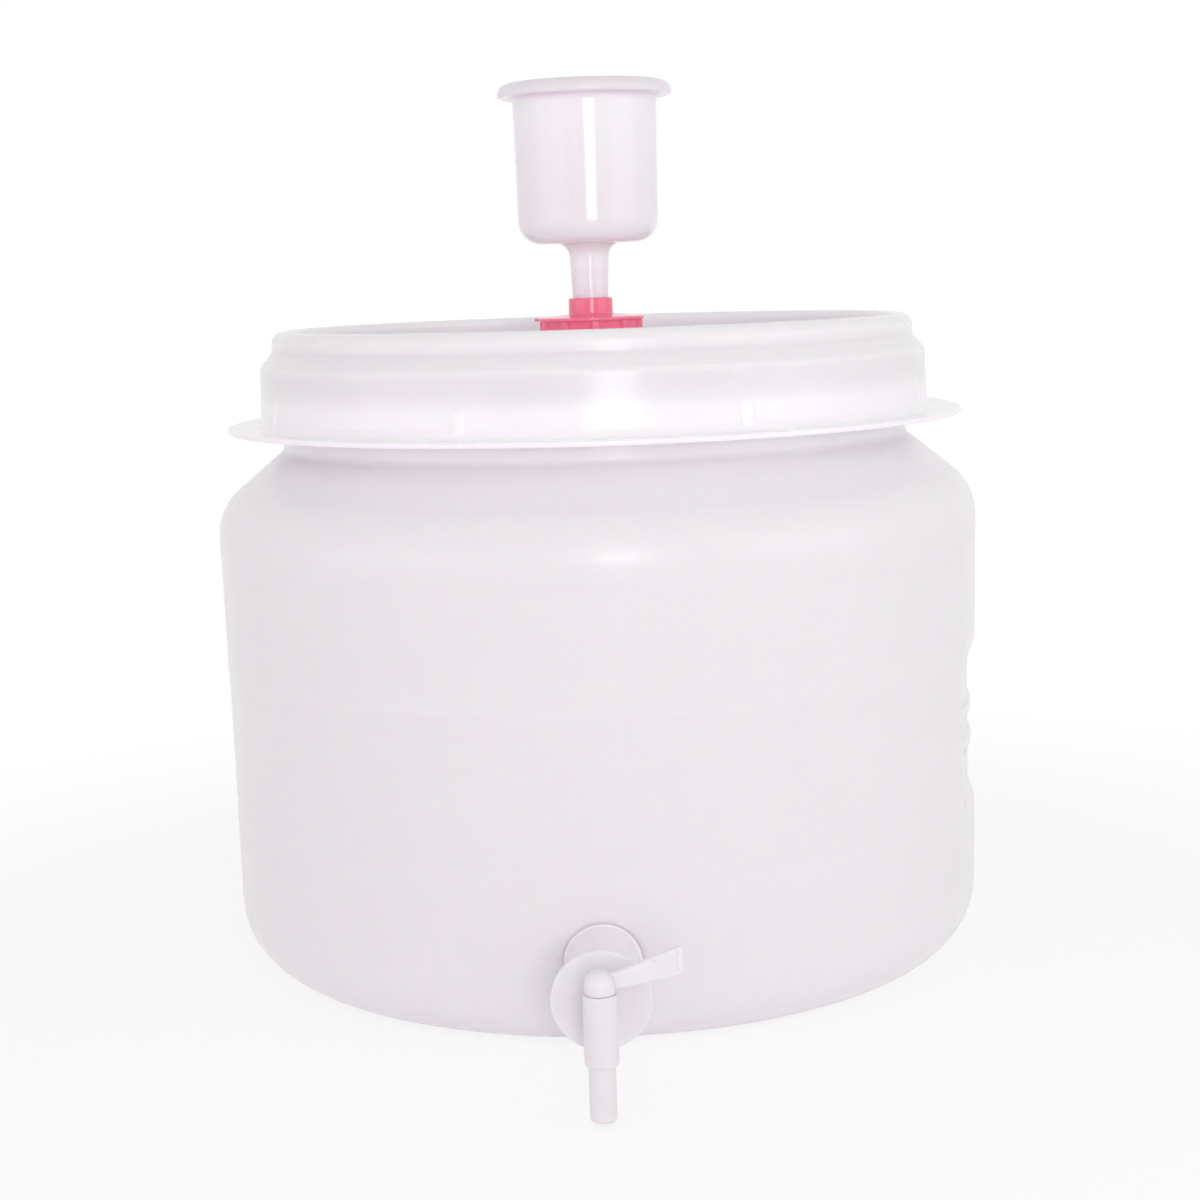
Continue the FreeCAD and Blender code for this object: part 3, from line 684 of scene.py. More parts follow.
@dataclass
class Jar(SubAssembly):
    """Blow-moulded jar: tapered wall with a shallow band, two grips, shoulder, neck and drain spout."""

    radius: float = 172.5
    wall: float = 2.2
    base_round: float = 31.7
    wall_tall: float = 189.4
    wall_taper: float = 1.7
    band_low: float = 70.5
    band_high: float = 140.5
    band_depth: float = 0.3
    band_edge: float = 5.0
    band_round: float = 12.0
    bead_rise: float = 0.1
    bead_wide: float = 1.6
    edge_reach: float = 0.25
    edge_top: float = 193.4
    edge_round: float = 5.0
    corner_height: float = 211.1
    shoulder_round: float = 25.0
    neck_radius: float = 141.5
    neck_foot: float = 236.4
    neck_foot_round: float = 4.0
    neck_top: float = 283.0
    neck_wall: float = 3.0
    lip_round: float = 1.0
    bead_radius: float = 148.3
    bead_foot: float = 256.0
    bead_low: float = 260.0
    bead_high: float = 264.0
    bead_top: float = 271.0
    bead_round: float = 1.5
    grip_count: int = 2
    grip_height: float = 105.5
    grip_tall: float = 75.0
    grip_wide: float = 80.0
    grip_turn: float = -8.5
    grip_depth: float = 3.4
    grip_slope: float = 9.0
    grip_corner: float = 14.0
    grip_softness: float = 0.7
    grip_fade: float = 4.0
    ridge_offset: float = 7.5
    ridge_rise: float = 1.6
    ridge_flat: float = 3.0
    ridge_foot: float = 9.0
    spout_height: float = 40.0
    spout_radius: float = 14.8
    spout_bore: float = 10.7
    spout_end: float = 213.459
    spout_fillet: float = 1.0
    spout_edge: float = 0.8
    spout_straight: float = 20.0
    hole_room: float = 0.2
    hole_before: float = 20.0
    hole_after: float = 6.0
    lining: float = 0.15
    root_room: float = 0.2
    fillet_sink: float = 0.02
    # Spacing of the mesh's points
    angle_step: float = 1.35
    grip_angle_step: float = 0.55
    grip_span: float = 20.0
    grip_row_step: float = 1.5
    grip_margin: float = 4.0
    hole_angle_step: float = 5.0
    spout_angle_step: float = 3.0
    fillet_points: int = 7

    def wall_radius(self, height: Union[float, np.ndarray]) -> Union[float, np.ndarray]:
        """Radius of the tapered wall at a height, before the band is set in."""
        return self.radius - self.edge_reach - self.wall_taper * (1 - height / self.wall_tall)

    def wall_corners(self, inset: float) -> list[Corner]:
        """Corners of the wall from the band's foot to the shoulder's edge.

        Args:
            inset: distance inside the outer surface.

        Returns:
            Corners from low to high.
        """
        floor_low = self.band_low + self.band_edge
        floor_high = self.band_high - self.band_edge
        sunk = self.band_depth + inset
        return [
            (self.wall_radius(self.band_low) - inset, self.band_low, self.band_round),
            (self.wall_radius(floor_low) - sunk, floor_low, self.band_round),
            (self.wall_radius(floor_high) - sunk, floor_high, self.band_round),
            (self.wall_radius(self.band_high) + self.bead_rise - inset, self.band_high, self.edge_round),
            (self.wall_radius(self.band_high) - inset, self.band_high + self.bead_wide, self.edge_round),
            (self.radius - self.edge_reach - inset, self.wall_tall, self.edge_round),
            (self.radius - inset, self.edge_top, self.edge_round),
        ]

    def profile(self) -> np.ndarray:
        """Outside from the middle of the base up to the lip, then the inside down to the middle again."""
        slope = (self.neck_foot - self.corner_height) / (self.radius - self.neck_radius)
        drop = self.wall * math.hypot(1.0, slope)
        inner_corner = self.corner_height + self.wall * slope - drop
        neck_inner = self.neck_radius - self.neck_wall
        neck_inner_foot = self.corner_height + (self.radius - neck_inner) * slope - drop
        outside = [(0.0, 0.0, 0.0), (self.wall_radius(0.0), 0.0, self.base_round)]
        outside += self.wall_corners(0.0)
        outside += [
            (self.radius, self.corner_height, self.shoulder_round),
            (self.neck_radius, self.neck_foot, self.neck_foot_round),
            (self.neck_radius, self.bead_foot, self.bead_round),
            (self.bead_radius, self.bead_low, self.bead_round),
            (self.bead_radius, self.bead_high, self.bead_round),
            (self.neck_radius, self.bead_top, self.bead_round),
            (self.neck_radius, self.neck_top, self.lip_round),
        ]
        inside = [(0.0, self.wall, 0.0),
                  (self.wall_radius(0.0) - self.wall, self.wall, self.base_round - self.wall)]
        inside += self.wall_corners(self.wall)
        inside += [
            (self.radius - self.wall, inner_corner, self.shoulder_round - self.wall),
            (neck_inner, neck_inner_foot, self.neck_foot_round),
            (neck_inner, self.neck_top, self.lip_round),
        ]
        profile = rounded(outside + inside[::-1], closed=False)
        margin = self.grip_tall / 2 + self.grip_margin
        return spaced(profile, self.grip_row_step, self.grip_height - margin, self.grip_height + margin)

    def grip_sink(self, angles: np.ndarray, height: np.ndarray, radius: np.ndarray) -> np.ndarray:
        """How far the wall is sunk for the grips, which are set evenly round it.

        On the unrolled wall a grip is a rectangle with round corners. Its surface drops from the wall by
        the depth over the slope for each millimetre inside that outline, down to a floor with two ridges,
        and the sunk radius is the lesser of that surface and the wall, eased where they meet.

        Args:
            angles: angle of each column.
            height: height of each row, as a column of shape (rows, 1).
            radius: radius of each row of the outer wall, of shape (rows, 1).

        Returns:
            Distance sunk, of shape (rows, columns).
        """
        wall = self.wall_radius(self.grip_height)
        turn = off_place(angles, self.grip_count, self.grip_turn)
        across = turn * wall - (self.grip_wide / 2 - self.grip_corner)
        up = np.abs(height - self.grip_height) - (self.grip_tall / 2 - self.grip_corner)
        outside = np.hypot(np.maximum(across, 0.0), np.maximum(up, 0.0))
        inside = np.minimum(np.maximum(across, up), 0.0)
        edge = outside + inside - self.grip_corner
        ridge_place = np.abs(np.abs(height - self.grip_height) - self.ridge_offset)
        ridge = self.ridge_rise * (1.0 - smooth_step(self.ridge_flat / 2, self.ridge_foot / 2, ridge_place))
        floor = wall - self.grip_depth + ridge
        flank = wall + edge * (self.grip_depth / self.grip_slope)
        surface = -soft_least(-np.broadcast_to(floor, flank.shape), -flank, self.grip_softness)
        sink = radius - soft_least(np.broadcast_to(radius, flank.shape), surface, self.grip_softness)
        return sink * smooth_step(self.grip_softness * self.grip_fade, 0.0, edge)

    def shell(self) -> bpy.types.Object:
        """Builds the jar's wall, inside and out, with grips and the drain hole."""
        profile = self.profile()
        places = ring_places(self.grip_count, self.grip_turn)
        angles = turn_angles(self.angle_step, self.grip_angle_step, places, self.grip_span)
        radius, height = profile[:, :1], profile[:, 1:]
        outer = self.wall_radius(height)
        in_band = (height > self.band_low + self.band_edge) & (height < self.band_high - self.band_edge)
        outer = np.where(in_band, outer - self.band_depth, outer)
        sink = self.grip_sink(angles, height, outer)
        on_wall = radius > self.wall_radius(0.0) - self.wall - self.base_round / 2
        points = lathe(radius - sink * on_wall, height, angles)
        piece = make_object("jar_shell", [Sheet(points, rows_close=False)])
        hole = self.spout_bore + self.hole_room
        start = self.wall_radius(self.spout_height) - self.hole_before
        end = self.wall_radius(self.spout_height) + self.hole_after
        rod = np.array([(0.0, start), (hole, start), (hole, end), (0.0, end)])
        cutter = turned(rod, turn_angles(self.hole_angle_step), closed=False)
        cutter.points = along_spout(cutter.points, self.spout_height)
        bore_through(piece, make_object("drain_hole", [cutter]))
        return piece

    def spout(self) -> bpy.types.Object:
        """Builds the drain spout, which runs into the wall in a small fillet.

        Each row is a ring round the spout's axis. Rows near the wall lie a set distance outside the wall's
        own cylinder, and the rest at a set distance from the jar's axis. The fillet is a quarter circle.
        """
        turn = np.linspace(0.0, math.pi / 2, self.fillet_points)[:, None]
        fillet = np.hstack([self.spout_radius + self.spout_fillet * (1 - np.sin(turn)),
                            self.spout_fillet * (1 - np.cos(turn))])
        bore_ring = self.spout_bore + self.lining
        foot = self.spout_radius + self.spout_fillet
        root = np.array([
            (self.spout_bore, -self.wall),
            (bore_ring, -self.wall),
            (bore_ring, -self.wall / 2),
            (foot + self.root_room, -self.wall / 2),
            (foot, -self.fillet_sink),
        ])
        near_rows = np.concatenate([root, fillet[1:]])
        far_rows = rounded([
            (self.spout_radius, self.spout_end - self.spout_straight, 0.0),
            (self.spout_radius, self.spout_end, self.spout_edge),
            (self.spout_bore, self.spout_end, self.spout_edge / 2),
            (self.spout_bore, self.spout_end - self.spout_straight, 0.0),
        ], closed=False)
        angles = turn_angles(self.spout_angle_step)
        ring = np.concatenate([near_rows[:, :1], far_rows[:, :1]])
        x = ring * np.cos(angles)
        up = ring * np.sin(angles)
        wall = self.wall_radius(self.spout_height + up)
        on_wall = np.sqrt(wall ** 2 - x ** 2)
        out = on_wall[:len(near_rows)] + near_rows[:, 1:]
        out = np.concatenate([out, np.broadcast_to(far_rows[:, 1:], (len(far_rows), len(angles)))])
        points = np.stack([x, -out, up + self.spout_height], axis=-1)
        return make_object("jar_drain_spout", [Sheet(points)])

    def build(self) -> None:
        """Builds the jar's pieces."""
        shell = self.add(self.shell(), "jar_body", Body.JAR, Slot.JAR)
        spout = self.add(self.spout(), "jar_body", Body.JAR, Slot.JAR)
        self.dress(JAR_PLASTIC, shell)
        self.dress(SPOUT_PLASTIC, spout)


def along_spout(points: np.ndarray, height: float) -> np.ndarray:
    """Turns points made about Z so that their height runs along -Y, at a given height."""
    x, y, z = np.moveaxis(points, -1, 0)
    return np.stack([x, -z, y + height], axis=-1)


@dataclass
class Lid(SubAssembly):
    """Press-on lid: flange, skirt with ribs, stacking rim, recessed panel and filler neck."""

    skirt_radius: float = 151.5
    skirt_top_radius: float = 150.5
    skirt_inner: float = 148.7
    skirt_top: float = 273.6
    step_round: float = 4.0
    step_foot_round: float = 3.0
    step_low_under: float = 272.0
    step_high_under: float = 279.5
    flange_radius: float = 166.4
    flange_under: float = 245.0
    flange_top: float = 247.2
    flange_edge_round: float = 0.9
    flange_fillet: float = 4.5
    rim_radius: float = 145.0
    rim_inner: float = 135.0
    rim_foot: float = 280.4
    rim_top: float = 289.4
    rim_round: float = 5.5
    rim_inner_round: float = 3.0
    panel_top: float = 279.0
    panel_under: float = 276.6
    panel_round: float = 1.8
    channel_outer: float = 142.6
    channel_inner: float = 137.4
    channel_top: float = 286.0
    plug_wall_low: float = 268.0
    plug_wall_round: float = 1.2
    edge: float = 0.5
    rib_count: int = 8
    rib_first: float = -64.9
    rib_wide: float = 6.8
    rib_flat: float = 1.2
    rib_tall: float = 14.0
    rib_foot: float = 1.05
    rib_top: float = 0.25
    rib_fade: float = 0.3
    filler_radius: float = 18.6
    filler_bore: float = 15.6
    filler_top: float = 286.6
    filler_round: float = 0.8
    thread_pitch: float = 4.0
    thread_rise: float = 0.22
    thread_power: int = 8
    thread_ease: float = 0.6
    thread_low: float = 280.0
    thread_high: float = 285.6
    # Spacing of the mesh's points
    angle_step: float = 0.9
    rib_angle_step: float = 0.14
    rib_wide_share: float = 0.7
    rib_row_step: float = 1.0
    rib_tall_share: float = 1.3
    filler_angle_step: float = 2.4
    thread_row_step: float = 0.25

    def shell(self) -> bpy.types.Object:
        """Builds the turned part of the lid."""
        profile = rounded([
            (self.skirt_inner, self.flange_under, self.edge),
            (self.flange_radius, self.flange_under, self.flange_edge_round),
            (self.flange_radius, self.flange_top, self.flange_edge_round),
            (self.skirt_radius, self.flange_top, self.flange_fillet),
            (self.skirt_top_radius, self.skirt_top, self.step_round),
            (self.rim_radius, self.rim_foot, self.step_foot_round),
            (self.rim_radius, self.rim_top, self.rim_round),
            (self.rim_inner, self.rim_top, self.rim_inner_round),
            (self.rim_inner, self.panel_top, self.panel_round),
            (self.filler_bore, self.panel_top, 0.0),
            (self.filler_bore, self.panel_under, self.edge),
            (self.rim_inner, self.panel_under, self.panel_round),
            (self.rim_inner, self.plug_wall_low, self.edge),
            (self.channel_inner, self.plug_wall_low, self.plug_wall_round),
            (self.channel_inner, self.channel_top, self.edge),
            (self.channel_outer, self.channel_top, self.edge),
            (self.channel_outer, self.step_high_under, self.edge),
            (self.skirt_inner, self.step_low_under, self.edge),
        ])
        ribs_end = self.flange_top + self.rib_tall_share * self.rib_tall
        profile = spaced(profile, self.rib_row_step, self.flange_top, ribs_end)
        places = ring_places(self.rib_count, self.rib_first)
        span = math.degrees(self.rib_wide_share * self.rib_wide / self.skirt_radius)
        angles = turn_angles(self.angle_step, self.rib_angle_step, places, span)
        radius, height = profile[:, :1], profile[:, 1:]
        points = lathe(self.ribbed(radius, height, angles), height, angles)
        return make_object("lid_shell", [Sheet(points)])

    def ribbed(self, radius: np.ndarray, height: np.ndarray, angles: np.ndarray) -> np.ndarray:
        """Radius of the lid with the soft ribs on its skirt, which stand out further down at the flange.

        A rib's own radius falls evenly from its foot to its top. Along the middle of a rib the skirt
        follows that radius where it is the greater, and it eases back to its own over the rib's flanks and
        top.

        Args:
            radius: radius of each row, of shape (rows, 1).
            height: height of each row, of shape (rows, 1).
            angles: angle of each column.

        Returns:
            Radius of shape (rows, columns).
        """
        across = off_place(angles, self.rib_count, self.rib_first) * self.skirt_radius
        share = 1.0 - smooth_step(self.rib_flat / 2, self.rib_wide / 2, across)
        up = np.clip((height - self.flange_top) / self.rib_tall, 0.0, 1.0)
        rib = self.skirt_radius + self.rib_foot + (self.rib_top - self.rib_foot) * up
        top = self.flange_top + self.rib_tall
        push = np.maximum(rib - radius, 0.0) * smooth_step(top, top - self.rib_fade * self.rib_tall, height)
        outside = (radius > (self.skirt_inner + self.skirt_top_radius) / 2) & (height > self.flange_top)
        return radius + push * share * outside

    def filler_neck(self) -> bpy.types.Object:
        """Builds the threaded neck under the screw cap.

        The thread stands out by its rise times a power of the cosine of half the phase, where the phase
        grows by a whole turn for each pitch of height and falls by one for each turn about the axis. It
        eases out at both ends.
        """
        foot = self.panel_under + self.edge
        profile = rounded([
            (self.filler_bore, foot, 0.0),
            (self.filler_radius, foot, 0.0),
            (self.filler_radius, self.filler_top, self.filler_round),
            (self.filler_bore, self.filler_top, self.filler_round),
            (self.filler_bore, foot, 0.0),
        ], closed=False)
        profile = spaced(profile, self.thread_row_step, self.panel_top, self.filler_top)
        angles = turn_angles(self.filler_angle_step)
        radius, height = profile[:, :1], profile[:, 1:]
        half_phase = math.pi * height / self.thread_pitch - angles / 2
        ridge = np.cos(half_phase) ** self.thread_power
        ridge = ridge * smooth_step(self.thread_low - self.thread_ease, self.thread_low, height)
        ridge = ridge * smooth_step(self.thread_high + self.thread_ease, self.thread_high, height)
        on_outside = radius > self.filler_radius - WELD
        points = lathe(radius + self.thread_rise * ridge * on_outside, height, angles)
        return make_object("lid_filler_neck", [Sheet(points, rows_close=False)])

    def build(self) -> None:
        """Builds the lid's pieces."""
        for piece in (self.shell(), self.filler_neck()):
            self.add(piece, "lid", Body.LID, Slot.LID)
        self.dress(LID_PLASTIC)


@dataclass
class ScrewCap(SubAssembly):
    """Red screw cap with grip ribs, a thin lip with a nub, and a collar for the airlock's stem."""

    inner: float = 18.9
    radius: float = 22.1
    foot: float = 279.8
    under: float = 288.2
    lip_radius: float = 24.2
    lip_under: float = 290.0
    edge_top: float = 291.4
    crown_top: float = 292.8
    collar_radius: float = 10.05
    collar_bore: float = 8.2
    collar_top: float = 300.0
    ledge_top: float = 290.0
    tail_hole: float = 7.0
    ring_height: float = 295.0
    ring_groove: float = 9.2
    ring_half: float = 0.55
    edge: float = 0.5
    inner_edge: float = 0.3
    lip_root: float = 0.35
    lip_ease: tuple[float, float] = (1.2, 0.4)
    collar_root: float = 0.9
    hole_edge: float = 0.2
    rib_count: int = 10
    rib_first: float = -84.0
    rib_wide: float = 3.4
    rib_reach: float = 1.7
    rib_ease: float = 0.45
    rib_rows: tuple[float, float] = (-0.4, 0.2)
    nub_angle: float = 180.0
    nub_wide: float = 1.3
    nub_reach: float = 1.7
    # Spacing of the mesh's points
    angle_step: float = 1.4
    rib_angle_step: float = 0.35
    rib_span: float = 7.0

    def profile(self) -> np.ndarray:
        """Closed profile from the foot of the wall, up outside, and down inside."""
        ring_low = self.ring_height - self.ring_half
        ring_high = self.ring_height + self.ring_half
        return rounded([
            (self.inner, self.foot, self.inner_edge),
            (self.radius, self.foot, self.edge),
            (self.radius, self.lip_under, self.lip_root),
            (self.lip_radius, self.lip_under, self.edge),
            (self.lip_radius, self.edge_top, self.edge),
            (self.collar_radius, self.crown_top, self.collar_root),
            (self.collar_radius, self.collar_top, self.edge),
            (self.collar_bore, self.collar_top, self.edge),
            (self.collar_bore, ring_high, 0.0),
            (self.ring_groove, ring_high, 0.0),
            (self.ring_groove, ring_low, 0.0),
            (self.collar_bore, ring_low, 0.0),
            (self.collar_bore, self.ledge_top, 0.0),
            (self.tail_hole, self.ledge_top, self.hole_edge),
            (self.tail_hole, self.under, self.hole_edge),
            (self.inner, self.under, self.inner_edge),
        ])

    def shell(self) -> bpy.types.Object:
        """Builds the cap.

        Ribs push its wall out at even steps round the axis, with eased flanks. A nub pushes its lip out by
        a bell curve of distance along the lip.
        """
        profile = self.profile()
        places = ring_places(self.rib_count, self.rib_first)
        angles = turn_angles(self.angle_step, self.rib_angle_step, places, self.rib_span)
        radius, height = profile[:, :1], profile[:, 1:]
        across = off_place(angles, self.rib_count, self.rib_first) * self.radius
        half = self.rib_wide / 2
        rib = 1.0 - smooth_step(half - self.rib_ease, half + self.rib_ease, across)
        out = radius - self.radius
        on_wall = (out > self.rib_rows[0]) & (out < self.rib_rows[1]) & (height < self.lip_under + SLACK)
        aside = off_place(angles, 1, self.nub_angle) * self.lip_radius
        nub = np.exp(-((aside / self.nub_wide) ** 2))
        on_lip = smooth_step(self.lip_radius - self.lip_ease[0], self.lip_radius - self.lip_ease[1], radius)
        on_lip = on_lip * (height > self.lip_under - SLACK)
        pushed = radius + rib * self.rib_reach * on_wall + nub * self.nub_reach * on_lip
        return make_object("screw_cap_shell", [Sheet(lathe(pushed, height, angles))])

    def build(self) -> None:
        """Builds the cap."""
        self.add(self.shell(), "bung_cap", Body.SCREW_CAP, Slot.RED)
        self.dress(RED_PLASTIC)


@dataclass
class Airlock(SubAssembly):
    """Water cup with rolled lip, stem and standpipe, and the bell that stands over the standpipe."""

    pipe_bore: float = 5.8
    tail_radius: float = 6.7
    tail_bottom: float = 270.0
    ledge: float = 290.0
    stem_radius: float = 8.1
    stem_low: float = 300.0
    stem_top_radius: float = 9.1
    stem_fillet: float = 6.0
    under: float = 324.7
    floor: float = 326.5
    foot_radius: float = 31.5
    foot_round: float = 10.0
    top_radius: float = 32.5
    wall: float = 1.8
    lip_radius: float = 39.4
    lip_under: float = 390.4
    lip_low: float = 389.4
    lip_edge_round: float = 1.7
    lip_top_round: float = 5.2
    lip_root_round: float = 3.4
    lip_inner_round: float = 1.2
    top: float = 396.0
    pipe_radius: float = 7.6
    pipe_top: float = 366.5
    pipe_root: float = 1.0
    edge: float = 0.6
    tail_edge: float = 0.4
    tail_inner_edge: float = 0.3
    bell_radius: float = 15.0
    bell_wall: float = 1.5
    bell_top: float = 378.5
    bell_round: float = 6.0
    bell_edge: float = 0.2
    notch_count: int = 4
    notch_wide: float = 5.0
    notch_tall: float = 4.0
    notch_ease: float = 0.25
    notch_rows: float = 1.0
    # Spacing of the mesh's points
    cup_angle_step: float = 1.5
    bell_angle_step: float = 3.0
    notch_angle_step: float = 0.5
    notch_span: float = 14.0

    def cup(self) -> bpy.types.Object:
        """Builds the cup with its stem and standpipe, turned in one."""
        profile = rounded([
            (self.pipe_bore, self.tail_bottom, self.tail_inner_edge),
            (self.tail_radius, self.tail_bottom, self.tail_edge),
            (self.tail_radius, self.ledge, 0.0),
            (self.stem_radius, self.ledge, 0.0),
            (self.stem_radius, self.stem_low, 0.0),
            (self.stem_top_radius, self.under, self.stem_fillet),
            (self.foot_radius, self.under, self.foot_round),
            (self.top_radius, self.lip_under, self.lip_root_round),
            (self.lip_radius, self.lip_low, self.lip_edge_round),
            (self.lip_radius, self.top, self.lip_top_round),
            (self.top_radius - self.wall, self.top, self.lip_inner_round),
            (self.foot_radius - self.wall, self.floor, self.foot_round - self.wall),
            (self.pipe_radius, self.floor, self.pipe_root),
            (self.pipe_radius, self.pipe_top, self.edge),
            (self.pipe_bore, self.pipe_top, self.edge),
        ])
        return make_object("airlock_cup_shell", [turned(profile, turn_angles(self.cup_angle_step))])

    def bell(self) -> bpy.types.Object:
        """Builds the bell: its foot is raised by the notch height within each notch's width."""
        inner = self.bell_radius - self.bell_wall
        profile = rounded([
            (0.0, self.bell_top - self.bell_wall, 0.0),
            (inner, self.bell_top - self.bell_wall, self.bell_round - self.bell_wall),
            (inner, self.floor, self.bell_edge),
            (self.bell_radius, self.floor, self.bell_edge),
            (self.bell_radius, self.bell_top, self.bell_round),
            (0.0, self.bell_top, 0.0),
        ], closed=False)
        places = ring_places(self.notch_count, 0.0)
        angles = turn_angles(self.bell_angle_step, self.notch_angle_step, places, self.notch_span)
        radius, height = profile[:, :1], profile[:, 1:]
        across = off_place(angles, self.notch_count, 0.0) * self.bell_radius
        half = self.notch_wide / 2
        notch = 1.0 - smooth_step(half - self.notch_ease, half + self.notch_ease, across)
        low = height < self.floor + self.notch_rows
        raised = height + notch * self.notch_tall * low
        return make_object("airlock_bell_shell", [Sheet(lathe(radius, raised, angles), rows_close=False)])

    def build(self) -> None:
        """Builds the airlock's pieces."""
        self.add(self.cup(), "airlock_cup", Body.AIRLOCK, Slot.AIRLOCK)
        self.add(self.bell(), "airlock_bell", Body.BELL, Slot.AIRLOCK)
        self.dress(AIRLOCK_PLASTIC)


@dataclass
class Tap(SubAssembly):
    """Drain tap: flanged barrel, plug housing with outlet, and the plug's dome and paddle lever."""

    height: float = 40.0
    shank_start: float = 187.459
    shank_radius: float = 10.4
    shank_bore: float = 6.8
    flange_back: float = 215.459
    flange_front: float = 218.459
    flange_radius: float = 19.4
    flange_round: float = 0.6
    barrel_radius: float = 6.0
    barrel_fillet: float = 1.4
    passage: float = 3.4
    plug_axis: float = 239.959
    saddle: float = 5.7
    housing_radius: float = 6.5
    housing_low: float = 22.7
    housing_high: float = 50.0
    housing_round: float = 0.25
    housing_foot_round: float = 1.2
    plug_bore: float = 4.75
    plug_seat: float = 24.3
    outlet_radius: float = 5.1
    outlet_low: float = 1.5
    outlet_edge: float = 1.3
    plug_radius: float = 4.7
    plug_low: float = 24.7
    plug_hollow: float = 2.9
    plug_roof: float = 44.5
    snap_low: float = 25.5
    snap_high: float = 26.7
    snap_reach: float = 0.5
    snap_room: float = 0.05
    ring_heights: tuple[float, float] = (27.9, 46.8)
    ring_half: float = 0.455
    ring_floor: float = 3.84
    dome_radius: float = 5.8
    dome_low: float = 50.08
    dome_high: float = 58.9
    dome_round: float = 5.0
    lever_reach: float = 31.0
    lever_thick: float = 3.2
    lever_root_low: float = 51.9
    lever_root_high: float = 57.9
    lever_tip_low: float = 56.8
    lever_tip_high: float = 68.2
    lever_corner: float = 2.6
    lever_edge: float = 0.6
    groove_place: float = 28.6
    groove_wide: float = 0.32
    groove_depth: float = 0.3
    groove_fade: tuple[float, float] = (0.8, 2.0)
    gate_place: tuple[float, float] = (20.0, 62.2)
    gate_wide: float = 0.6
    gate_depth: float = 0.8
    front_share: float = 0.9
    edge: float = 0.3
    fine_edge: float = 0.2
    shank_edge: float = 0.8
    outlet_inner_edge: float = 0.4
    # Spacing of the mesh's points
    barrel_angle_step: float = 2.5
    plug_angle_step: float = 3.0
    lever_rows: int = 190
    tip_rows: int = 14
    corner_points: int = 6
    face_steps: int = 34

    def barrel(self) -> bpy.types.Object:
        """Builds shank, flange and barrel about the spout's axis.

        The barrel's far rows lie on a cylinder about the plug's axis, inside the housing's wall: their
        distance is the plug axis less the root of the saddle's radius squared less x squared.
        """
        profile = rounded([
            (self.shank_bore, self.shank_start, self.edge),
            (self.shank_radius, self.shank_start, self.shank_edge),
            (self.shank_radius, self.flange_back, 0.0),
            (self.flange_radius, self.flange_back, self.flange_round),
            (self.flange_radius, self.flange_front, self.flange_round),
            (self.barrel_radius, self.flange_front, self.barrel_fillet),
            (self.barrel_radius, self.plug_axis, 0.0),
            (self.passage, self.plug_axis, 0.0),
            (self.passage, self.flange_back, self.edge),
            (self.shank_bore, self.flange_back, self.edge),
        ])
        angles = turn_angles(self.barrel_angle_step)
        ring, along = profile[:, :1], profile[:, 1:]
        x = ring * np.cos(angles)
        room = np.sqrt(np.maximum(self.saddle ** 2 - x ** 2, 0.0))
        along = np.where(along > self.plug_axis - TINY, self.plug_axis - room, along)
        points = along_spout(lathe(ring, along, angles), self.height)
        return make_object("tap_barrel", [Sheet(points)])

    def housing(self) -> bpy.types.Object:
        """Builds the plug housing and the outlet under it."""
        groove = self.plug_bore + self.snap_reach
        groove_low = self.snap_low - self.snap_room
        groove_high = self.snap_high + self.snap_room
        profile = rounded([
            (self.passage, self.outlet_low, self.outlet_inner_edge),
            (self.outlet_radius, self.outlet_low, self.outlet_edge),
            (self.outlet_radius, self.housing_low, self.edge),
            (self.housing_radius, self.housing_low, self.housing_foot_round),
            (self.housing_radius, self.housing_high, self.housing_round),
            (self.plug_bore, self.housing_high, self.fine_edge),
            (self.plug_bore, groove_high, 0.0),
            (groove, groove_high, 0.0),
            (groove, groove_low, 0.0),
            (self.plug_bore, groove_low, 0.0),
            (self.plug_bore, self.plug_seat, 0.0),
            (self.passage, self.plug_seat, self.fine_edge),
        ])
        sheet = turned(profile, turn_angles(self.plug_angle_step))
        return make_object("tap_housing", [shifted(sheet, y=-self.plug_axis)])

    def plug(self) -> bpy.types.Object:
        """Builds the plug with its ring grooves and snap bead, under the dome."""
        corners = [
            (0.0, self.dome_high, 0.0),
            (self.dome_radius, self.dome_high, self.dome_round),
            (self.dome_radius, self.dome_low, self.housing_round),
            (self.plug_radius, self.dome_low, 0.0),
        ]
        for height in sorted(self.ring_heights, reverse=True):
            high, low = height + self.ring_half, height - self.ring_half
            corners += [(self.plug_radius, high, 0.0), (self.ring_floor, high, 0.0),
                        (self.ring_floor, low, 0.0), (self.plug_radius, low, 0.0)]
        snap = self.plug_radius + self.snap_reach
        corners += [
            (self.plug_radius, self.snap_high, 0.0),
            (snap, self.snap_high, self.edge),
            (snap, self.snap_low, 0.0),
            (self.plug_radius, self.snap_low, 0.0),
            (self.plug_radius, self.plug_low, self.fine_edge),
            (self.plug_hollow, self.plug_low, self.fine_edge),
            (self.plug_hollow, self.plug_roof, 0.0),
            (0.0, self.plug_roof, 0.0),
        ]
        profile = rounded(corners, closed=False)
        sheet = turned(profile, turn_angles(self.plug_angle_step), closed=False)
        return make_object("tap_plug_dome", [shifted(sheet, y=-self.plug_axis)])

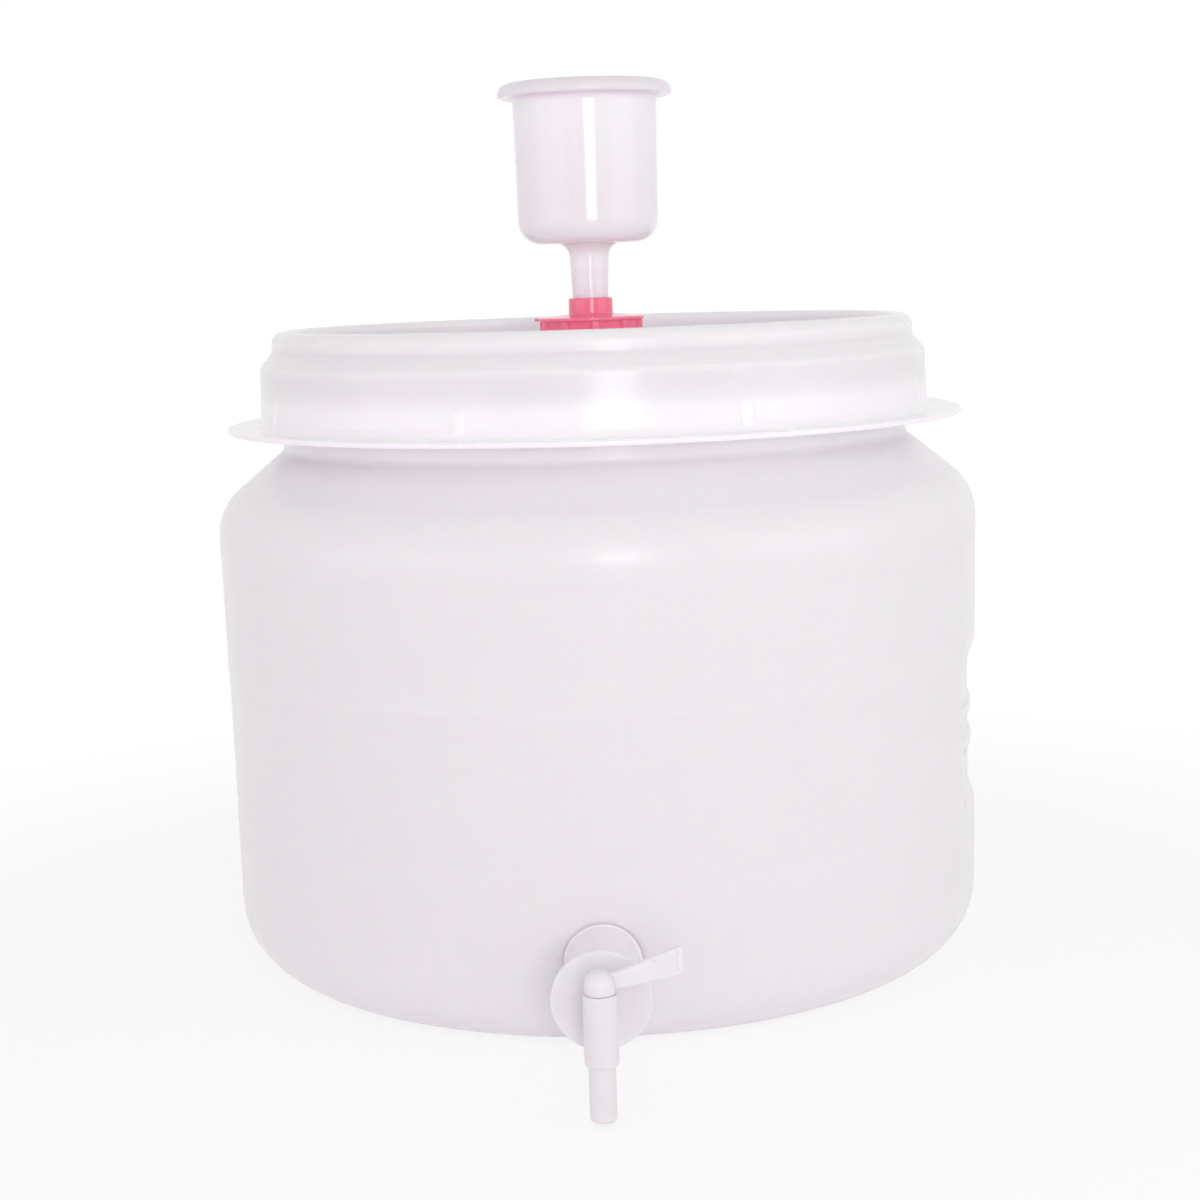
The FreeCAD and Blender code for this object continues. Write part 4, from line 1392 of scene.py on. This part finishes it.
    def lever(self) -> bpy.types.Object:
        """Builds the paddle lever, a rounded section carried along +X.

        The section is a rectangle with round corners, traced by angle: each point is the corner's centre
        plus a circle. Its height grows along the lever. Near the tip height and thickness shrink on a
        quarter circle. A groove across the front face and a round gate mark are sunk as bell curves of
        distance.
        """
        tip_start = self.lever_reach - self.lever_corner
        body = np.linspace(0.0, tip_start, self.lever_rows)
        tip_turn = np.linspace(0.0, math.pi / 2, self.tip_rows)[1:]
        end = self.lever_reach - self.lever_corner * (1.0 - np.sin(tip_turn))
        along = np.concatenate([body, end])[:, None]
        share = np.clip((along - self.dome_radius) / (self.lever_reach - self.dome_radius), 0.0, 1.0)
        low = self.lever_root_low + (self.lever_tip_low - self.lever_root_low) * share
        high = self.lever_root_high + (self.lever_tip_high - self.lever_root_high) * share
        past = np.clip((along - tip_start) / self.lever_corner, 0.0, 1.0)
        shrink = 1.0 - np.sqrt(1.0 - past ** 2)
        half_tall = (high - low) / 2 - shrink * self.lever_corner
        half_thick = self.lever_thick / 2 - shrink * self.lever_edge
        corner = np.linspace(0.0, math.pi / 2, self.corner_points)
        turn = np.concatenate([corner + i * math.pi / 2 for i in range(4)])
        quarter = np.repeat(np.arange(4), self.corner_points)
        sign_y = np.array([1.0, -1.0, -1.0, 1.0])[quarter]
        sign_z = np.array([1.0, 1.0, -1.0, -1.0])[quarter]
        y = sign_y * (half_thick - self.lever_edge) + self.lever_edge * np.cos(turn)
        z = sign_z * (half_tall - self.lever_edge) + self.lever_edge * np.sin(turn)
        ring_y, ring_z = self.densified(y), self.densified(z)
        middle = (low + high) / 2
        x = np.broadcast_to(along, ring_y.shape)
        height = ring_z + middle
        front = smooth_step(-half_thick * self.front_share, -half_thick, ring_y)
        groove = np.exp(-(((x - self.groove_place) / self.groove_wide) ** 2)) * self.groove_depth
        fade_start, fade_end = half_tall - self.groove_fade[0], half_tall - self.groove_fade[1]
        groove = groove * smooth_step(fade_start, fade_end, np.abs(ring_z))
        away = np.hypot(x - self.gate_place[0], height - self.gate_place[1])
        gate = np.exp(-((away / self.gate_wide) ** 2)) * self.gate_depth
        depth = ring_y + front * (groove + gate)
        points = np.stack([x, depth, height], axis=-1)
        start = np.broadcast_to(points[:1].mean(axis=1, keepdims=True), points[:1].shape)
        tip = np.broadcast_to(points[-1:].mean(axis=1, keepdims=True), points[-1:].shape)
        sheet = Sheet(np.concatenate([start, points, tip]), rows_close=False)
        return make_object("tap_lever", [shifted(sheet, y=-self.plug_axis)])

    def densified(self, ring: np.ndarray) -> np.ndarray:
        """Adds even steps on the two long faces of a lever section.

        The front face lies between the section's second and third corners, and the back face between its
        last and its first.

        Args:
            ring: one coordinate of the section, of shape (rows, points), corner by corner.

        Returns:
            The coordinate with the points of both faces added.
        """
        share = np.linspace(0.0, 1.0, self.face_steps + 1)[1:-1]
        half = 2 * self.corner_points
        front = ring[:, half - 1:half] + (ring[:, half:half + 1] - ring[:, half - 1:half]) * share
        back = ring[:, -1:] + (ring[:, :1] - ring[:, -1:]) * share
        return np.concatenate([ring[:, :half], front, ring[:, half:], back], axis=1)

    def build(self) -> None:
        """Builds the tap's pieces."""
        self.add(self.barrel(), "tap_body", Body.JAR, Slot.TAP)
        self.add(self.housing(), "tap_body", Body.JAR, Slot.TAP)
        self.add(self.plug(), "tap_plug", Body.PLUG, Slot.TAP)
        self.add(self.lever(), "tap_plug", Body.PLUG, Slot.TAP)
        self.dress(TAP_PLASTIC)


@dataclass
class Seals:
    """Gaskets, O-rings and washer, which keep their construction shapes."""

    nodes: tuple[str, ...] = ("lid_seal", "bung_cap_seal", "stem_o_ring", "tap_washer", "plug_o_rings")

    def dress(self, finish: Plastic) -> None:
        """Gives every seal the rubber finish."""
        material = finish.material()
        for name in self.nodes:
            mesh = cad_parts[name].data
            mesh.materials.clear()
            mesh.materials.append(material)
            log.info("%s keeps its construction shape", name)


# Studio


@dataclass(frozen=True)
class Softbox:
    """A rectangular lamp that faces the jar.

    Attributes:
        name: name of the lamp.
        azimuth: degrees to the right of the front.
        rise: height of its middle, in metres.
        distance: metres from the jar's axis.
        wide: metres across.
        tall: metres high.
        power: watts.
        colour: linear colour.
    """

    name: str
    azimuth: float
    rise: float
    distance: float
    wide: float
    tall: float
    power: float
    colour: Colour = WHITE

    def build(self, aim: Vector) -> None:
        """Adds the lamp, facing a point."""
        lamp = bpy.data.lights.new(self.name, "AREA")
        lamp.shape = "RECTANGLE"
        lamp.size = self.wide
        lamp.size_y = self.tall
        lamp.energy = self.power
        lamp.color = self.colour
        holder = bpy.data.objects.new(self.name, lamp)
        turn = math.radians(self.azimuth)
        place = Vector((self.distance * math.sin(turn), -self.distance * math.cos(turn), self.rise))
        facing = (aim - place).to_track_quat("-Z", "Y").to_matrix().to_4x4()
        holder.matrix_world = Matrix.Translation(place) @ facing
        bpy.context.scene.collection.objects.link(holder)


@dataclass
class Studio:
    """White floor and surroundings, soft lamps, and the camera of the photograph."""

    floor_half: float = 6.0
    floor_white: float = 0.8
    floor_colour: Colour = (0.92, 0.92, 0.92)
    shadow_reach: tuple[float, float] = (0.26, 0.62)
    horizon: float = 0.735
    zenith: float = 0.675
    bounces: int = 12
    aim: tuple[float, float, float] = (0.0, 0.0, 0.2)
    lens: float = 67.64
    sensor: float = 36.0
    clip_start: float = 0.01
    distance: float = 1037.2
    eye_height: float = 312.7
    pitch: float = 8.34
    roll: float = 1.81
    turn: float = 1.1
    lamps: tuple[Softbox, ...] = (
        Softbox("key", 7.0, 0.78, 1.8, 0.3, 0.5, 2.6),
        Softbox("strip", 7.5, 0.38, 1.8, 0.5, 0.28, 3.6),
        Softbox("stem_strip", 7.5, 0.155, 1.8, 0.26, 0.13, 0.8),
        Softbox("fill_right", 62.0, 0.52, 1.8, 1.4, 1.0, 4.2, (0.955, 0.995, 1.0)),
        Softbox("fill_left", -58.0, 0.31, 1.7, 1.6, 0.6, 3.0, (1.0, 0.89, 0.965)),
    )

    def surroundings(self) -> None:
        """White world for the camera and reflections, which as light is softer and falls off overhead."""
        world = bpy.data.worlds.new("studio")
        world.use_nodes = True
        bpy.context.scene.world = world
        graph = Graph(world.node_tree)
        seen = self.seen(graph)
        white = graph.node("ShaderNodeBackground", {}, {"Color": (*WHITE, 1.0), "Strength": 1.0})
        sky = graph.node("ShaderNodeTexCoord", {}, {}, "Generated")
        rise = graph.node("ShaderNodeSeparateXYZ", {}, {0: sky}, "Z")
        level = self.horizon + rise.eased(0.0, 1.0) * (self.zenith - self.horizon)
        light = graph.node("ShaderNodeBackground", {}, {"Color": (*WHITE, 1.0), "Strength": level})
        mixed = graph.node("ShaderNodeMixShader", {}, {0: seen, 1: light, 2: white})
        graph.finish("ShaderNodeOutputWorld", mixed)

    @staticmethod
    def seen(graph: Graph) -> Wire:
        """1 for rays from the camera, from reflections and through anything clear, else 0."""
        camera = graph.node("ShaderNodeLightPath", {}, {}, "Is Camera Ray")
        glossy = graph.node("ShaderNodeLightPath", {}, {}, "Is Glossy Ray")
        through = graph.node("ShaderNodeLightPath", {}, {}, "Is Transmission Ray")
        return camera.most(glossy).most(through)

    def floor(self) -> None:
        """Pale floor that reads white and keeps the jar's soft shadow, which fades out with distance."""
        half = self.floor_half
        mesh = bpy.data.meshes.new("floor")
        corners = [(-half, -half, 0.0), (half, -half, 0.0), (half, half, 0.0), (-half, half, 0.0)]
        mesh.from_pydata(corners, [], [(0, 1, 2, 3)])
        material = bpy.data.materials.new("pale_floor")
        material.use_nodes = True
        graph = Graph(material.node_tree)
        matt = graph.node("ShaderNodeBsdfDiffuse", {}, {"Color": (*self.floor_colour, 1.0)})
        white = graph.node("ShaderNodeEmission", {}, {"Color": (*WHITE, 1.0), "Strength": 1.0})
        place = graph.node("ShaderNodeTexCoord", {}, {}, "Object")
        away = graph.node("ShaderNodeVectorMath", {"operation": "LENGTH"}, {0: place}, "Value")
        whiter = self.floor_white + away.eased(*self.shadow_reach) * (1.0 - self.floor_white)
        share = self.seen(graph) * whiter
        mixed = graph.node("ShaderNodeMixShader", {}, {0: share, 1: matt, 2: white})
        graph.finish("ShaderNodeOutputMaterial", mixed)
        mesh.materials.append(material)
        ground = bpy.data.objects.new("floor", mesh)
        bpy.context.scene.collection.objects.link(ground)

    def camera(self) -> None:
        """Camera at the photograph's angle, fitted to the jar's outline."""
        data = bpy.data.cameras.new("camera")
        data.lens = self.lens
        data.sensor_width = self.sensor
        data.sensor_fit = "HORIZONTAL"
        data.clip_start = self.clip_start
        pitch, roll = math.radians(self.pitch), math.radians(self.roll)
        right = Vector((1.0, 0.0, 0.0))
        ahead = Vector((0.0, math.cos(pitch), -math.sin(pitch)))
        up = right.cross(ahead)
        across = right * math.cos(roll) - up * math.sin(roll)
        upward = right * math.sin(roll) + up * math.cos(roll)
        axes = Matrix((across, upward, -ahead)).transposed().to_4x4()
        place = Matrix.Translation(Vector((0.0, -self.distance, self.eye_height)) * MM)
        holder = bpy.data.objects.new("camera", data)
        holder.matrix_world = Matrix.Rotation(math.radians(self.turn), 4, "Z") @ place @ axes
        bpy.context.scene.collection.objects.link(holder)
        bpy.context.scene.camera = holder

    def build(self) -> None:
        """Sets up floor, light, camera and view, with bounces enough for light between many thin walls."""
        self.surroundings()
        self.floor()
        for lamp in self.lamps:
            lamp.build(Vector(self.aim))
        self.camera()
        bpy.context.scene.cycles.diffuse_bounces = self.bounces
        bpy.context.scene.cycles.max_bounces = 2 * self.bounces
        bpy.context.scene.view_settings.view_transform = "Standard"


def main() -> None:
    """Builds the jar from its sub-assemblies, then the studio."""
    for part in (Jar(), Lid(), ScrewCap(), Airlock(), Tap()):
        part.build()
        log.info("%s: %d pieces", type(part).__name__, len(part.made))
    Seals().dress(SEAL_RUBBER)
    Studio().build()


if __name__ == "__main__":
    main()
